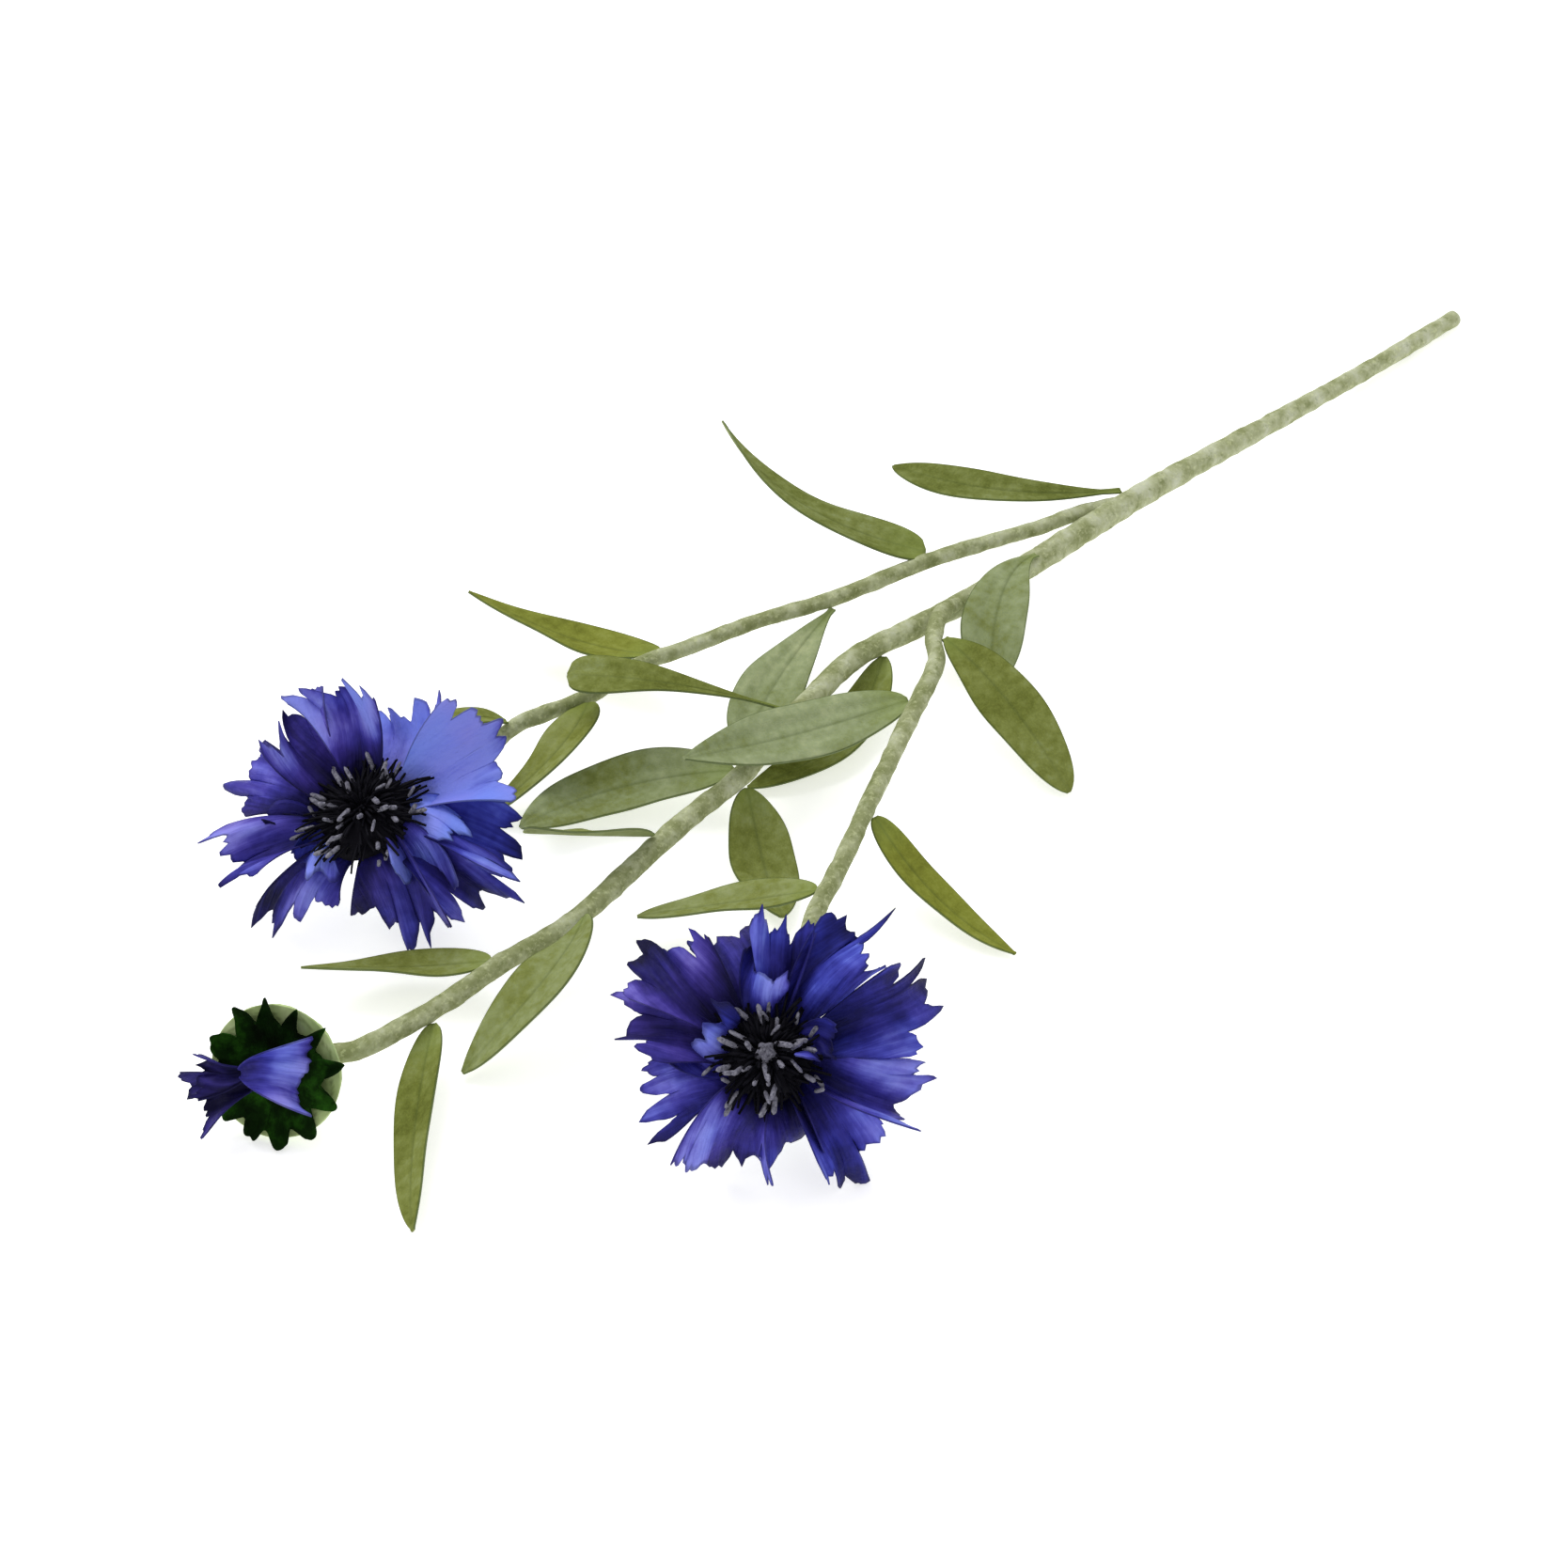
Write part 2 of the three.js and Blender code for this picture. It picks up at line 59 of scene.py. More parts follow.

# Routes of the stems, (x, y, z, radius), from the cut end or fork towards the bloom that ends them. A
# branch's crotch is the point within the main stem where its tape starts. A scratch program worked most
# of the points out from places seen in the photo and guessed heights. They were then rounded, and some
# were changed.
STEMS = {
    "main_stem": {
        "bloom": "bud",
        "route": [
            (235, 28, 2, 1.9), (203, 25, 3.2, 2), (173, 23, 4.5, 2.2), (147, 21.5, 5.6, 2.4),
            (123, 19.5, 7, 2.8), (101, 16.5, 8.5, 2.8), (82, 14, 9.5, 2.6), (63.5, 12.5, 10.5, 2.5),
            (48, 12, 11, 2.5), (31, 12, 11.5, 2.4), (14, 7, 12, 2.3), (-2.5, 1, 12, 2.2),
            (-15, -3.5, 12, 2.2), (-30, -6.5, 12, 2.2), (-42, -9.5, 12, 2.2), (-54, -12.5, 11.5, 2.2),
            (-65, -15.5, 11.5, 2.1), (-76, -17, 11.5, 2.1), (-87, -17, 11.5, 2.1), (-102, -18.5, 11, 2),
            (-114, -18.5, 10.5, 2), (-123.5, -15.5, 8, 2),
        ],
    },
    "left_branch": {
        "bloom": "head_1",
        "crotch": (117, 20, 7.4, 1.4),
        "route": [
            (106, 22.2, 8.5, 1.7), (94, 22.1, 10.3, 1.7), (82, 23.2, 12, 1.7), (66.5, 25.6, 13.2, 1.7),
            (57, 26.5, 13.7, 1.7), (38, 28.5, 14, 1.7), (20, 33, 14, 1.7), (3, 35.5, 14, 1.7),
            (-9, 37.5, 14, 1.7), (-24, 36, 14, 1.7), (-34, 38.5, 13, 1.8), (-41, 40, 12, 1.8),
            (-56, 37, 10, 1.8), (-69, 32, 7, 1.8), (-78.5, 26, 4.6, 1.8),
        ],
    },
    "right_branch": {
        "bloom": "head_2",
        "crotch": (60, 11.6, 11.8, 1.4),
        "route": [
            (52.5, 8.9, 14.6, 1.9), (44.5, 2.5, 15.4, 1.9), (40.5, -3, 15.6, 1.9), (36.5, -6.5, 16, 1.9),
            (28, -12, 16.5, 1.9), (17.5, -18.5, 17, 1.9), (6, -26, 17.5, 1.9), (-5, -33, 18, 1.9),
            (-15, -39.5, 18, 1.9), (-25.5, -46, 18, 1.9), (-34, -51, 18, 1.9), (-44, -58.5, 16, 1.9),
            (-53, -66, 12.5, 1.9), (-60, -72.5, 8.5, 1.9),
        ],
    },
}
NECK_LEAD = 5  # the last stretch of a stem, straight into its bloom

# Leaves: stem, station (route points along it), tip, how far the middle stands above the straight line
# from base to tip, how far it swings to the left of it, width, roll at base and tip, fullness, which is
# small for a leaf that widens soon, bluntness, which is small for a round tip, and then its shade (0 dark
# to 1 light) and how yellow it is. Stations, tips, bends, widths, rolls and fullness began as the rounded
# results of a least squares fit to the photo, except those of leaf_left_6, and many were then changed.
LEAVES = {
    "leaf_left_1": ("main_stem", 4.2, (84, 61, 10), 4, 10, 11, 15, -5, 1.5, 0.7, 0.40, 0.15),
    "leaf_left_2": ("left_branch", 3.2, (51.5, 82.5, 25.5), 1, 9, 15, 5, -65, 0.4, 0.7, 0.42, 0.15),
    "leaf_left_3": ("left_branch", 5.05, (-5.5, 6, 9), -2, -3, 14, 10, 2, 1.2, 0.7, 0.74, 0.05),
    "leaf_left_4": ("left_branch", 7.6, (-22.5, 80, 15.5), -5, -2, 14, -15, -25, 0.35, 0.75, 0.45, 0.9),
    "leaf_left_5": ("left_branch", 9.1, (-57, 30.5, 1.5), 4, 5, 11, -20, -15, 0.5, 0.7, 0.55, 0.6),
    "leaf_left_6": ("left_branch", 11.1, (-62, 42, 19), 3, 0, 7, 0, 0, 0.7, 0.7, 0.50, 0.5),
    "leaf_middle_1": ("main_stem", 5.9, (52, -8, 2.5), 7, -3, 14, 5, 5, 1.4, 0.7, 0.70, 0.05),
    "leaf_middle_2": ("main_stem", 8.65, (-8, 2, 2), -3, 5, 12, -10, -4, 0.6, 0.7, 0.45, 0.4),
    "leaf_middle_3": ("main_stem", 10.45, (-30, 35, 23.5), 3, 1, 13, -20, 5, 1.9, 0.4, 0.41, 0.3),
    "leaf_middle_4": ("main_stem", 11.85, (-57, 17, 8), -3, -7.5, 15, 10, 12, 0.6, 0.7, 0.66, 0.1),
    "leaf_middle_5": ("main_stem", 12.0, (-30.5, -36, 4), -4, 0, 14, 15, 8, 0.6, 0.7, 0.43, 0.3),
    "leaf_middle_6": ("main_stem", 14.0, (-61, 10, 13.5), 6, 7, 10, -42, -38, 0.7, 0.7, 0.60, 0.4),
    "leaf_middle_7": ("main_stem", 16.25, (-107, -29, 1.8), 8, 6, 14, -45, 0, 0.85, 0.7, 0.60, 0.3),
    "leaf_middle_8": ("main_stem", 18.1, (-118, 9.5, 9.5), -2.5, -2, 11, -6, -35, 0.5, 0.7, 0.53, 0.4),
    "leaf_middle_9": ("main_stem", 19.45, (-142, -60, 4.5), -3, -2, 9.7, -25, -50, 0.5, 0.7, 0.43, 0.4),
    "leaf_right_1": ("right_branch", 1.0, (43.5, -42.5, 1.5), 4, 0, 13, -10, -10, 0.8, 0.6, 0.41, 0.35),
    "leaf_right_2": ("right_branch", 4.1, (-28, -1.5, 23), -4, -3, 14, 12, 25, 0.55, 0.8, 0.74, 0.0),
    "leaf_right_3": ("right_branch", 7.1, (0.5, -73, 1.5), -3, -1.5, 9, 8, 15, 0.5, 0.8, 0.50, 1.0),
    "leaf_right_4": ("right_branch", 9.35, (-55.5, -20, 7.5), -1.5, -2, 13, -12, -20, 0.5, 0.7, 0.60, 0.4),
}

# Florets, in their head's own frame (z along the head's axis, angle 0 to the side it leans to): angle,
# reach and height of the tip, bow above the straight line, width, gape of the lip, twist of the lip, curl
# of the lip (mm, inwards above 0), depth of the cuts between lobes, shade at root and lip (0 navy to 1
# light), tint (0 blue to 1 violet) and how far out each of its lobes goes. Angle, reach, height, width,
# twist and lobes began as the rounded results of a least squares fit to the photo, and many were then
# changed.
# A low root shade is painted shade in a floret's throat; a high lip shade is partly the cloth's own lighter
# tone and partly painted light where the lip faces the lamp.
OUTER_ROOT = {"radius": 4.6, "height": 10.5}
INNER_ROOT = {"radius": 4.4, "height": 13.4}
FLORETS = {
    "head_1": {
        "first_root": 171,
        "tuft": 15,
        "heart": 0,
        "outer": [
            (160, 31, 19, 3, 31, 50, 45, 0, 0.1, 1.15, 1.2, 0.3, (0.9, 0.9, 1.1, 1.1, 0.95, 0.85)),
            (204, 26.5, 21, 1, 22, 50, -25, 1, 0.14, 1.2, 1.05, 0.4, (0.92, 0.97, 0.9, 1.02)),
            (226, 24.5, 29, 2, 26, 120, -30, 5, 0.12, 0.0, 0.9, 0.6, (0.85, 0.98, 1, 1.05, 1.05)),
            (274, 25.5, 27.5, 2, 26, 120, 25, 5, 0.14, 0.0, 0.65, 0.8, (1.05, 1.05, 0.88, 0.83)),
            (292, 30.5, 19.5, 3, 20.5, 70, -15, -3, 0.14, 0.0, 0.5, 0.6, (0.98, 0.95, 1.2, 0.92)),
            (335, 29.5, 14.5, 4, 20, 80, -5, 3, 0.14, 0.15, 0.6, 0.7, (0.95, 0.94, 1.1, 0.92)),
            (358, 21.5, 5.5, 4, 19, 60, -40, -2, 0.18, 0.25, 0.5, 0.4, (1.25, 1.2, 1.04, 0.82)),
            (64, 18, 0, 7, 29, 90, 25, -1, 0.12, 0.15, 0.45, 0.6, (0.9, 1.03, 1.15, 1.02, 0.96)),
            (104, 27.5, -1, 7, 21.5, 70, 18, -3, 0.2, 0.15, 0.5, 0.4, (0.92, 1.02, 1.08, 0.95)),
            (122, 26, 1.5, 6, 23, 100, -5, 4, 0.14, 0.25, 0.62, 0.2, (1, 1, 1.05, 0.93)),
        ],
        "inner": [
            (308, 21.5, 17, 0, 12.5, 80, 25, 2, 0.2, 0.0, 0.25, 0.6, (0.9, 1, 1.1)),
            (357, 15.5, 12, 3, 14, 70, -35, 1, 0.1, 0.4, 0.8, 0.1, (0.9, 0.98, 1.05)),
            (85, 18.5, 7, 5, 15.5, 60, 20, 1, 0.24, 0.4, 0.9, 0.3, (0.87, 1.1, 1.03)),
            (124, 19, 12, 3, 15.5, 70, 5, 1, 0.14, 1.05, 1.1, 0.0, (0.98, 1.1, 0.94)),
        ],
    },
    "head_2": {
        "first_root": 190,
        "tuft": 12.5,
        "heart": 1,
        "outer": [
            (185, 25.5, 13.5, 3, 17, 100, 15, 3, 0.12, 0.15, 0.45, 0.3, (0.98, 0.96, 0.95)),
            (210, 29, 12.5, 3, 19, 100, 10, -2, 0.14, 0.1, 0.45, 0.5, (1, 1.02, 1)),
            (234, 33, 20, 3, 27, 70, -28, -3, 0.12, 0.05, 0.4, 0.9, (0.76, 0.82, 1.2, 1.04, 0.92)),
            (271, 27.5, 15, 4, 22, 80, 30, 2, 0.16, 0.1, 0.45, 0.7, (1.02, 1.05, 0.82)),
            (293, 24, 5, 5, 19.5, 80, -5, 3, 0.22, 0.15, 0.6, 0.3, (0.92, 0.96, 1, 1.08)),
            (336, 19, 5, 6, 30, 130, -32, 4, 0.05, 0.1, 0.72, 0.7, (0.86, 0.98, 1.12, 1.03, 0.86)),
            (22, 18.5, 5, 5, 18, 90, 18, -2, 0.12, 0.1, 0.3, 0.5, (0.9, 0.97, 0.86)),
            (46, 26, 3.5, 6, 22, 60, -27, -1, 0.14, 0.2, 0.6, 0.4, (0.86, 1.08, 1.2, 0.86)),
            (80, 27, 4.5, 6, 22, 120, -30, 3, 0.1, 0.1, 0.68, 0.5, (0.94, 0.94, 1.02, 0.94)),
            (120, 34, 9.5, 5, 27, 60, 32, -2, 0.2, 0.2, 0.5, 0.2, (0.78, 1.1, 1.12, 1.14, 0.85)),
            (144, 31, 14.5, 3, 29, 90, -28, 2, 0.12, 0.2, 0.55, 0.1, (0.88, 0.86, 1.17, 0.9)),
        ],
        "inner": [
            (256, 13, 16.5, 1, 21, 80, -20, 2, 0.14, 0.3, 0.65, 0.1, (1.15, 1, 0.97, 1.1)),
            (99, 12, 20, 2, 13, 100, -5, 3, 0.12, 0.2, 0.45, 0.4, (1, 1.1, 0.9)),
            (185, 17, 20, 1, 14.5, 100, -8, 2, 0.14, 0.3, 0.65, 0.3, (1.03, 0.9, 1.08)),
        ],
    },
}

# The bud's petals: root angle, radius and height, then the same values as a floret.
BUD_FLORETS = [
    ((264, 4.6, 14.5), (101, 9, 12.5, 3, 18, 80, -15, -2, 0.06, 0.35, 0.85, 0.6, (1, 0.96, 1, 0.98))),
    ((262, 4, 12), (274, 13.5, 14, 1, 14, 90, 0, 2, 0.12, 0.0, 0.3, 0.7, (0.92, 1.03, 0.98, 0.9))),
    ((312, 4.1, 10.6), (300, 16, 11, 1, 16, 80, 0, 2, 0.12, 0.0, 0.3, 0.7, (0.95, 1.02, 0.95, 1.02))),
]

CALYX_PROFILE = [(0, 0.3), (2.3, 0.3), (4.6, 2.5), (5.6, 5.5), (5.2, 8.8), (3.3, 9.3), (3.3, 14.4), (0, 14.4)]
BUD_CALYX_PROFILE = [(0, 0.3), (2.2, 0.3), (4.2, 2), (6, 4), (13.2, 7.2), (13.2, 7.9), (6, 5.6), (0, 5.6)]
BUD_CORE_PROFILE = [(0, 7.8), (3.6, 7.8), (3.2, 10.5), (2.2, 14.5), (0, 15.4)]
RUFF = {
    "lobes": 12, "radius": 14.8, "cut": 4.2, "floor": 6.4, "rim": 9.4, "thickness": 0.5, "sharp_side": 144,
}

# Seeds of the florets' draws and phases of the waves on stems and leaves
FLORET_SEED = 31
BUD_FLORET_SEED = 65
BUD_SEED_STEP = 7
STAMEN_SEED = 11
STEM_PHASE = 0.4
STEM_PHASE_STEP = 1.7
LEAF_PHASE_STEP = 1.3


# ---- small helpers ----
def lerp(a, b, t):
    return a + (b - a) * t


def smooth(low, high, x):
    """Smoothstep from 0 at low to 1 at high."""
    t = np.clip((x - low) / (high - low), 0, 1)
    return t * t * (3 - 2 * t)


def unit(v):
    return v / np.linalg.norm(v, axis=-1, keepdims=True)


UP = np.array([0.0, 0.0, 1.0])


def head_frame(name):
    """Rows are the bloom's own x, y and z axes: z leans from upright towards its heading by its lean."""
    turn, lean = math.radians(HEADS[name]["heading"]), math.radians(HEADS[name]["lean"])
    x = (math.cos(turn) * math.cos(lean), math.sin(turn) * math.cos(lean), -math.sin(lean))
    y = (-math.sin(turn), math.cos(turn), 0)
    z = (math.cos(turn) * math.sin(lean), math.sin(turn) * math.sin(lean), math.cos(lean))
    return np.array([x, y, z])


def placed(name, points):
    """Points of a bloom's own frame, taken to the place of that bloom."""
    return points @ head_frame(name) + np.array(HEADS[name]["neck"], float)


# ---- meshes ----
def make_piece(name, points, faces, material, replaces, marks=None, uv=None):
    """One closed mesh at its place, smooth shaded, with a float attribute for each entry of marks."""
    mesh = bpy.data.meshes.new(name)
    place = (points.reshape(-1, 3) - MIDDLE) * MM
    mesh.from_pydata(place, [], faces)
    for mark, values in (marks or {}).items():
        attribute = mesh.attributes.new(mark, "FLOAT", "POINT")
        attribute.data.foreach_set("value", np.asarray(values, np.float32).ravel())
    if uv is not None:
        corners = np.empty(len(mesh.loops), np.int32)
        mesh.loops.foreach_get("vertex_index", corners)
        layer = mesh.uv_layers.new(name="cloth")
        layer.data.foreach_set("uv", uv.reshape(-1, 2)[corners].astype(np.float32).ravel())
    mesh.shade_smooth()
    mesh.materials.append(material)
    piece = bpy.data.objects.new(name, mesh)
    bpy.context.scene.collection.objects.link(piece)
    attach(piece, "root")
    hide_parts(replaces)
    return piece


def grid_faces(rows, columns, wrap=False):
    """Quads of a grid of vertices, (i, j), (i+1, j), (i+1, j+1), (i, j+1), closed on itself if wrap."""
    i = np.arange(rows - 1)[:, None]
    j = np.arange(columns if wrap else columns - 1)[None, :]
    k = (j + 1) % columns
    corners = [i * columns + j, (i + 1) * columns + j, (i + 1) * columns + k, i * columns + k]
    return np.stack([np.broadcast_to(c, (rows - 1, j.size)) for c in corners], -1).reshape(-1, 4)


def sheet_mesh(middle, thickness):
    """Closed sheet round a grid of middle points: each point is moved half the thickness both ways along
    the normal, which is the cross product of the grid's two directions, and a rim joins the two sides."""
    rows, columns = middle.shape[:2]
    along = np.gradient(middle, axis=0)
    across = np.gradient(middle, axis=1)
    normal = unit(np.cross(along, across))
    half = thickness / 2
    points = np.stack([middle + normal * half, middle - normal * half])
    layer = rows * columns
    top = grid_faces(rows, columns)
    bottom = top[:, ::-1] + layer
    index = np.arange(layer).reshape(rows, columns)
    rim = np.concatenate([index[0, :-1], index[:-1, -1], index[-1, :0:-1], index[:0:-1, 0]])
    after = np.roll(rim, -1)
    sides = np.stack([rim, after, after + layer, rim + layer], -1)
    return points, np.concatenate([top, bottom, sides]).tolist()


def tube_mesh(rings):
    """Closed tube from rings of points (rows, sides, 3), with a point in the middle of each end ring."""
    rows, sides = rings.shape[:2]
    body = grid_faces(rows, sides, wrap=True)[:, ::-1]
    ends = np.stack([rings[0].mean(0), rings[-1].mean(0)])
    first, last = rows * sides, rows * sides + 1
    j = np.arange(sides)
    k = (j + 1) % sides
    start_cap = np.stack([np.full(sides, first), k, j], -1)
    end_cap = np.stack([np.full(sides, last), j + (rows - 1) * sides, k + (rows - 1) * sides], -1)
    points = np.concatenate([rings.reshape(-1, 3), ends])
    return points, body.tolist() + start_cap[:, ::-1].tolist() + end_cap[:, ::-1].tolist()


# ---- materials ----
def paint(code):
    """Linear colour of a six figure hexadecimal code."""
    values = [int(code[k:k + 2], 16) / 255 for k in (0, 2, 4)]
    linear = [v / 12.92 if v <= 0.04045 else ((v + 0.055) / 1.055) ** 2.4 for v in values]
    return (*linear, 1.0)


class Finish:
    """A material's node tree, with one short method for each kind of node that the finishes use."""

    def __init__(self, name, roughness, sheen=0.0, sheen_tint="ffffff", specular=0.3):
        self.material = bpy.data.materials.new(name)
        self.material.use_nodes = True
        self.nodes = self.material.node_tree.nodes
        self.links = self.material.node_tree.links
        self.skin = self.nodes["Principled BSDF"]
        self.skin.inputs["Roughness"].default_value = roughness
        self.skin.inputs["Specular IOR Level"].default_value = specular
        self.skin.inputs["Sheen Weight"].default_value = sheen
        self.skin.inputs["Sheen Tint"].default_value = paint(sheen_tint)
        self.place = self.nodes.new("ShaderNodeTexCoord").outputs["Object"]

    def put(self, node, socket, value):
        if isinstance(value, bpy.types.NodeSocket):
            self.links.new(value, node.inputs[socket])
        else:
            node.inputs[socket].default_value = value

    def mark(self, name):
        node = self.nodes.new("ShaderNodeAttribute")
        node.attribute_name = name
        return node.outputs["Fac"]

    def cloth(self, across, along):
        """The piece's own UV, stretched by two numbers: a pattern then has that many repeats a unit."""
        node = self.nodes.new("ShaderNodeMapping")
        self.put(node, "Vector", self.nodes["Texture Coordinate"].outputs["UV"])
        self.put(node, "Scale", (across, along, 1))
        return node.outputs["Vector"]

    def noise(self, scale, detail=2.0, rough=0.5, at=None):
        node = self.nodes.new("ShaderNodeTexNoise")
        self.put(node, "Vector", at or self.place)
        self.put(node, "Scale", scale)
        self.put(node, "Detail", detail)
        self.put(node, "Roughness", rough)
        return node.outputs["Fac"]

    def spread(self, value, low, high, to_low=0.0, to_high=1.0):
        node = self.nodes.new("ShaderNodeMapRange")
        for socket, entry in zip(("Value", "From Min", "From Max", "To Min", "To Max"),
                                 (value, low, high, to_low, to_high)):
            self.put(node, socket, entry)
        return node.outputs["Result"]

    def maths(self, operation, a, b=0.0, clamp=False):
        node = self.nodes.new("ShaderNodeMath")
        node.operation = operation
        node.use_clamp = clamp
        node.inputs[0].default_value = 0.0
        for socket, entry in enumerate((a, b)):
            self.put(node, socket, entry)
        return node.outputs["Value"]

    def ramp(self, value, *stops):
        node = self.nodes.new("ShaderNodeValToRGB")
        band = node.color_ramp
        while len(band.elements) < len(stops):
            band.elements.new(0.5)
        for element, (position, code) in zip(band.elements, stops):
            element.position = position
            element.color = paint(code)
        self.put(node, "Fac", value)
        return node.outputs["Color"]

    def blend(self, share, a, b):
        node = self.nodes.new("ShaderNodeMix")
        node.data_type = "RGBA"
        self.put(node, 0, share)
        self.put(node, 6, paint(a) if isinstance(a, str) else a)
        self.put(node, 7, paint(b) if isinstance(b, str) else b)
        return node.outputs[2]

    def bump(self, height, distance, strength=1.0, under=None):
        node = self.nodes.new("ShaderNodeBump")
        self.put(node, "Height", height)
        self.put(node, "Distance", distance * MM)
        self.put(node, "Strength", strength)
        if under is not None:
            self.put(node, "Normal", under)
        return node.outputs["Normal"]

    def done(self, colour, normal):
        self.put(self.skin, "Base Color", colour)
        self.put(self.skin, "Normal", normal)
        return self.material


def tape_finish():
    """Pale green floral tape, paler towards the cut end: soft patches, fine flecks, dark pits and creases."""
    f = Finish("tape", 0.85, specular=0.08)
    patches = f.maths("ADD", f.noise(170, 4, 0.65), f.spread(f.mark("pale"), 0, 1, -0.12, 0.14))
    flecks = f.spread(f.noise(1000, 3, 0.7), 0.54, 0.66)
    pits = f.spread(f.noise(520, 3, 0.65), 0.44, 0.3)
    colour = f.ramp(patches, (0.3, "6c7444"), (0.5, "8a9066"), (0.65, "a8ad8a"), (0.8, "babea6"))
    colour = f.blend(f.maths("MULTIPLY", flecks, 0.4), colour, "cdd3a4")
    colour = f.blend(f.maths("MULTIPLY", pits, 0.5), colour, "5e6834")
    normal = f.bump(f.noise(500, 4, 0.7), 0.25, 0.8)
    return f.done(colour, f.bump(patches, 0.4, 0.6, normal))


def leaf_finish():
    """Olive cloth: shade and yellowness by leaf, a fresher green towards the stalk, a dark midrib, fine
    weave, dark cut edge and a paler underside."""
    f = Finish("leaf_cloth", 0.85, specular=0.02)
    shade = f.maths("ADD", f.mark("shade"), f.spread(f.noise(70, 3, 0.6), 0.3, 0.7, -0.16, 0.16))
    shade = f.maths("ADD", shade, f.spread(f.noise(450, 3, 0.6), 0.3, 0.7, -0.12, 0.12))
    green = f.ramp(shade, (0.1, "4a5220"), (0.35, "626b36"), (0.5, "737c4a"), (0.65, "828d65"),
                   (0.8, "909b76"), (1.0, "a8b088"))
    yellow = f.ramp(shade, (0.1, "4e501a"), (0.35, "6c712a"), (0.5, "7a8032"), (0.65, "848a3e"),
                    (0.8, "8f9452"), (1.0, "a6aa6c"))
    colour = f.blend(f.mark("yellow"), green, yellow)
    weave = f.noise(1, 2, 0.6, at=f.cloth(26, 20))
    colour = f.blend(f.spread(weave, 0.45, 0.75, 0, 0.22), colour, "9aa250")
    colour = f.blend(f.spread(f.mark("rib"), 0, 1, 0, 0.45), colour, "46522a")
    colour = f.blend(f.spread(f.mark("along"), 0.2, 0.0, 0, 0.45), colour, "86964e")
    colour = f.blend(f.spread(f.mark("edge"), 0.86, 1.0, 0, 0.75), colour, "47562a")
    colour = f.blend(f.maths("MULTIPLY", f.mark("under"), 0.3), colour, "a9b48c")
    threads = f.noise(1, 2, 0.5, at=f.cloth(60, 14))
    normal = f.bump(weave, 0.12, 0.6)
    return f.done(colour, f.bump(threads, 0.15, 0.6, normal))


def petal_finish():
    """Blue violet satin cloth: shade and tint by floret, where the shade holds painted shade in the throat
    and painted light on lips that face the lamp, painted light on the crests of folds and painted shade in
    them, fine ribs from root to lip and a dark cut edge."""
    f = Finish("petal_cloth", 0.6, sheen=0.05, sheen_tint="8f8fff", specular=0.12)
    ribs = f.noise(1, 3, 0.6, at=f.cloth(9, 0.7))
    patches = f.noise(100, 3, 0.6)
    # the floret's shade: its cloth's tone, with painted shade at the root in the throat and painted light on
    # lips that face the lamp
    shade = f.maths("ADD", f.mark("shade"), f.spread(ribs, 0.3, 0.7, -0.12, 0.12))
    # painted light on the crests of the folds and painted shade in their hollows
    shade = f.maths("ADD", shade, f.spread(f.mark("painted_fold_shading"), 0.0, 1.0, -0.26, 0.26))
    shade = f.maths("ADD", shade, f.spread(patches, 0.3, 0.7, -0.18, 0.18))
    blue = f.ramp(shade, (0.0, "0a0a30"), (0.3, "1a1c66"), (0.5, "2b3092"), (0.65, "3e46b0"),
                  (0.8, "5a68ce"), (1.0, "7488e6"))
    violet = f.ramp(shade, (0.0, "0e0a32"), (0.3, "251d60"), (0.5, "3c3188"), (0.65, "5145a2"),
                    (0.8, "6e65be"), (1.0, "8a84d8"))
    tint = f.maths("ADD", f.mark("tint"), f.spread(f.noise(60, 2, 0.5), 0.35, 0.65, -0.35, 0.35), clamp=True)
    colour = f.blend(tint, blue, violet)
    colour = f.blend(f.spread(f.mark("edge"), 0.5, 1.0, 0, 0.6), colour, "0d0a34")
    normal = f.bump(ribs, 0.6, 0.8)
    normal = f.bump(f.noise(260, 3, 0.6), 0.7, 0.7, normal)
    return f.done(colour, f.bump(f.noise(1, 1, 0.5, at=f.cloth(40, 4)), 0.12, 0.5, normal))


def stamen_finish():
    """Near black blue threads with grey, slightly rough tips."""
    f = Finish("stamens", 0.75, specular=0.12)
    grain = f.noise(1500, 2, 0.6)
    grey = f.ramp(grain, (0.3, "4a4957"), (0.7, "8f8e9a"))
    colour = f.blend(f.mark("tip"), "06050e", grey)
    return f.done(colour, f.bump(grain, 0.1, 0.6))


def ruff_finish():
    """Very dark green cloth, a little lighter in patches, with pressed creases."""
    f = Finish("ruff_cloth", 0.85, specular=0.04)
    patches = f.noise(160, 4, 0.6)
    colour = f.ramp(patches, (0.35, "050f02"), (0.52, "0d2405"), (0.7, "235010"))
    creases = f.noise(1, 3, 0.6, at=f.cloth(12, 2))
    return f.done(colour, f.bump(creases, 0.4, 0.8))


def calyx_finish():
    """Light green cloth under the blooms, with darker edges to its scales and painted shade, nearly black, in
    its throat and on its top end.
    """
    f = Finish("calyx_cloth", 0.75, sheen=0.15)
    patches = f.noise(140, 4, 0.6)
    colour = f.ramp(patches, (0.3, "96ae68"), (0.55, "b6cb88"), (0.8, "cddba6"))
    colour = f.blend(f.maths("MULTIPLY", f.mark("edge"), 0.6), colour, "55692f")
    # painted shade: near black in the cup's throat and on its top end, which lie under the florets, stamens
    # or ruff
    colour = f.blend(f.mark("painted_throat_shade"), colour, "0c0a24")
    return f.done(colour, f.bump(f.noise(700, 3, 0.6), 0.2, 0.7))


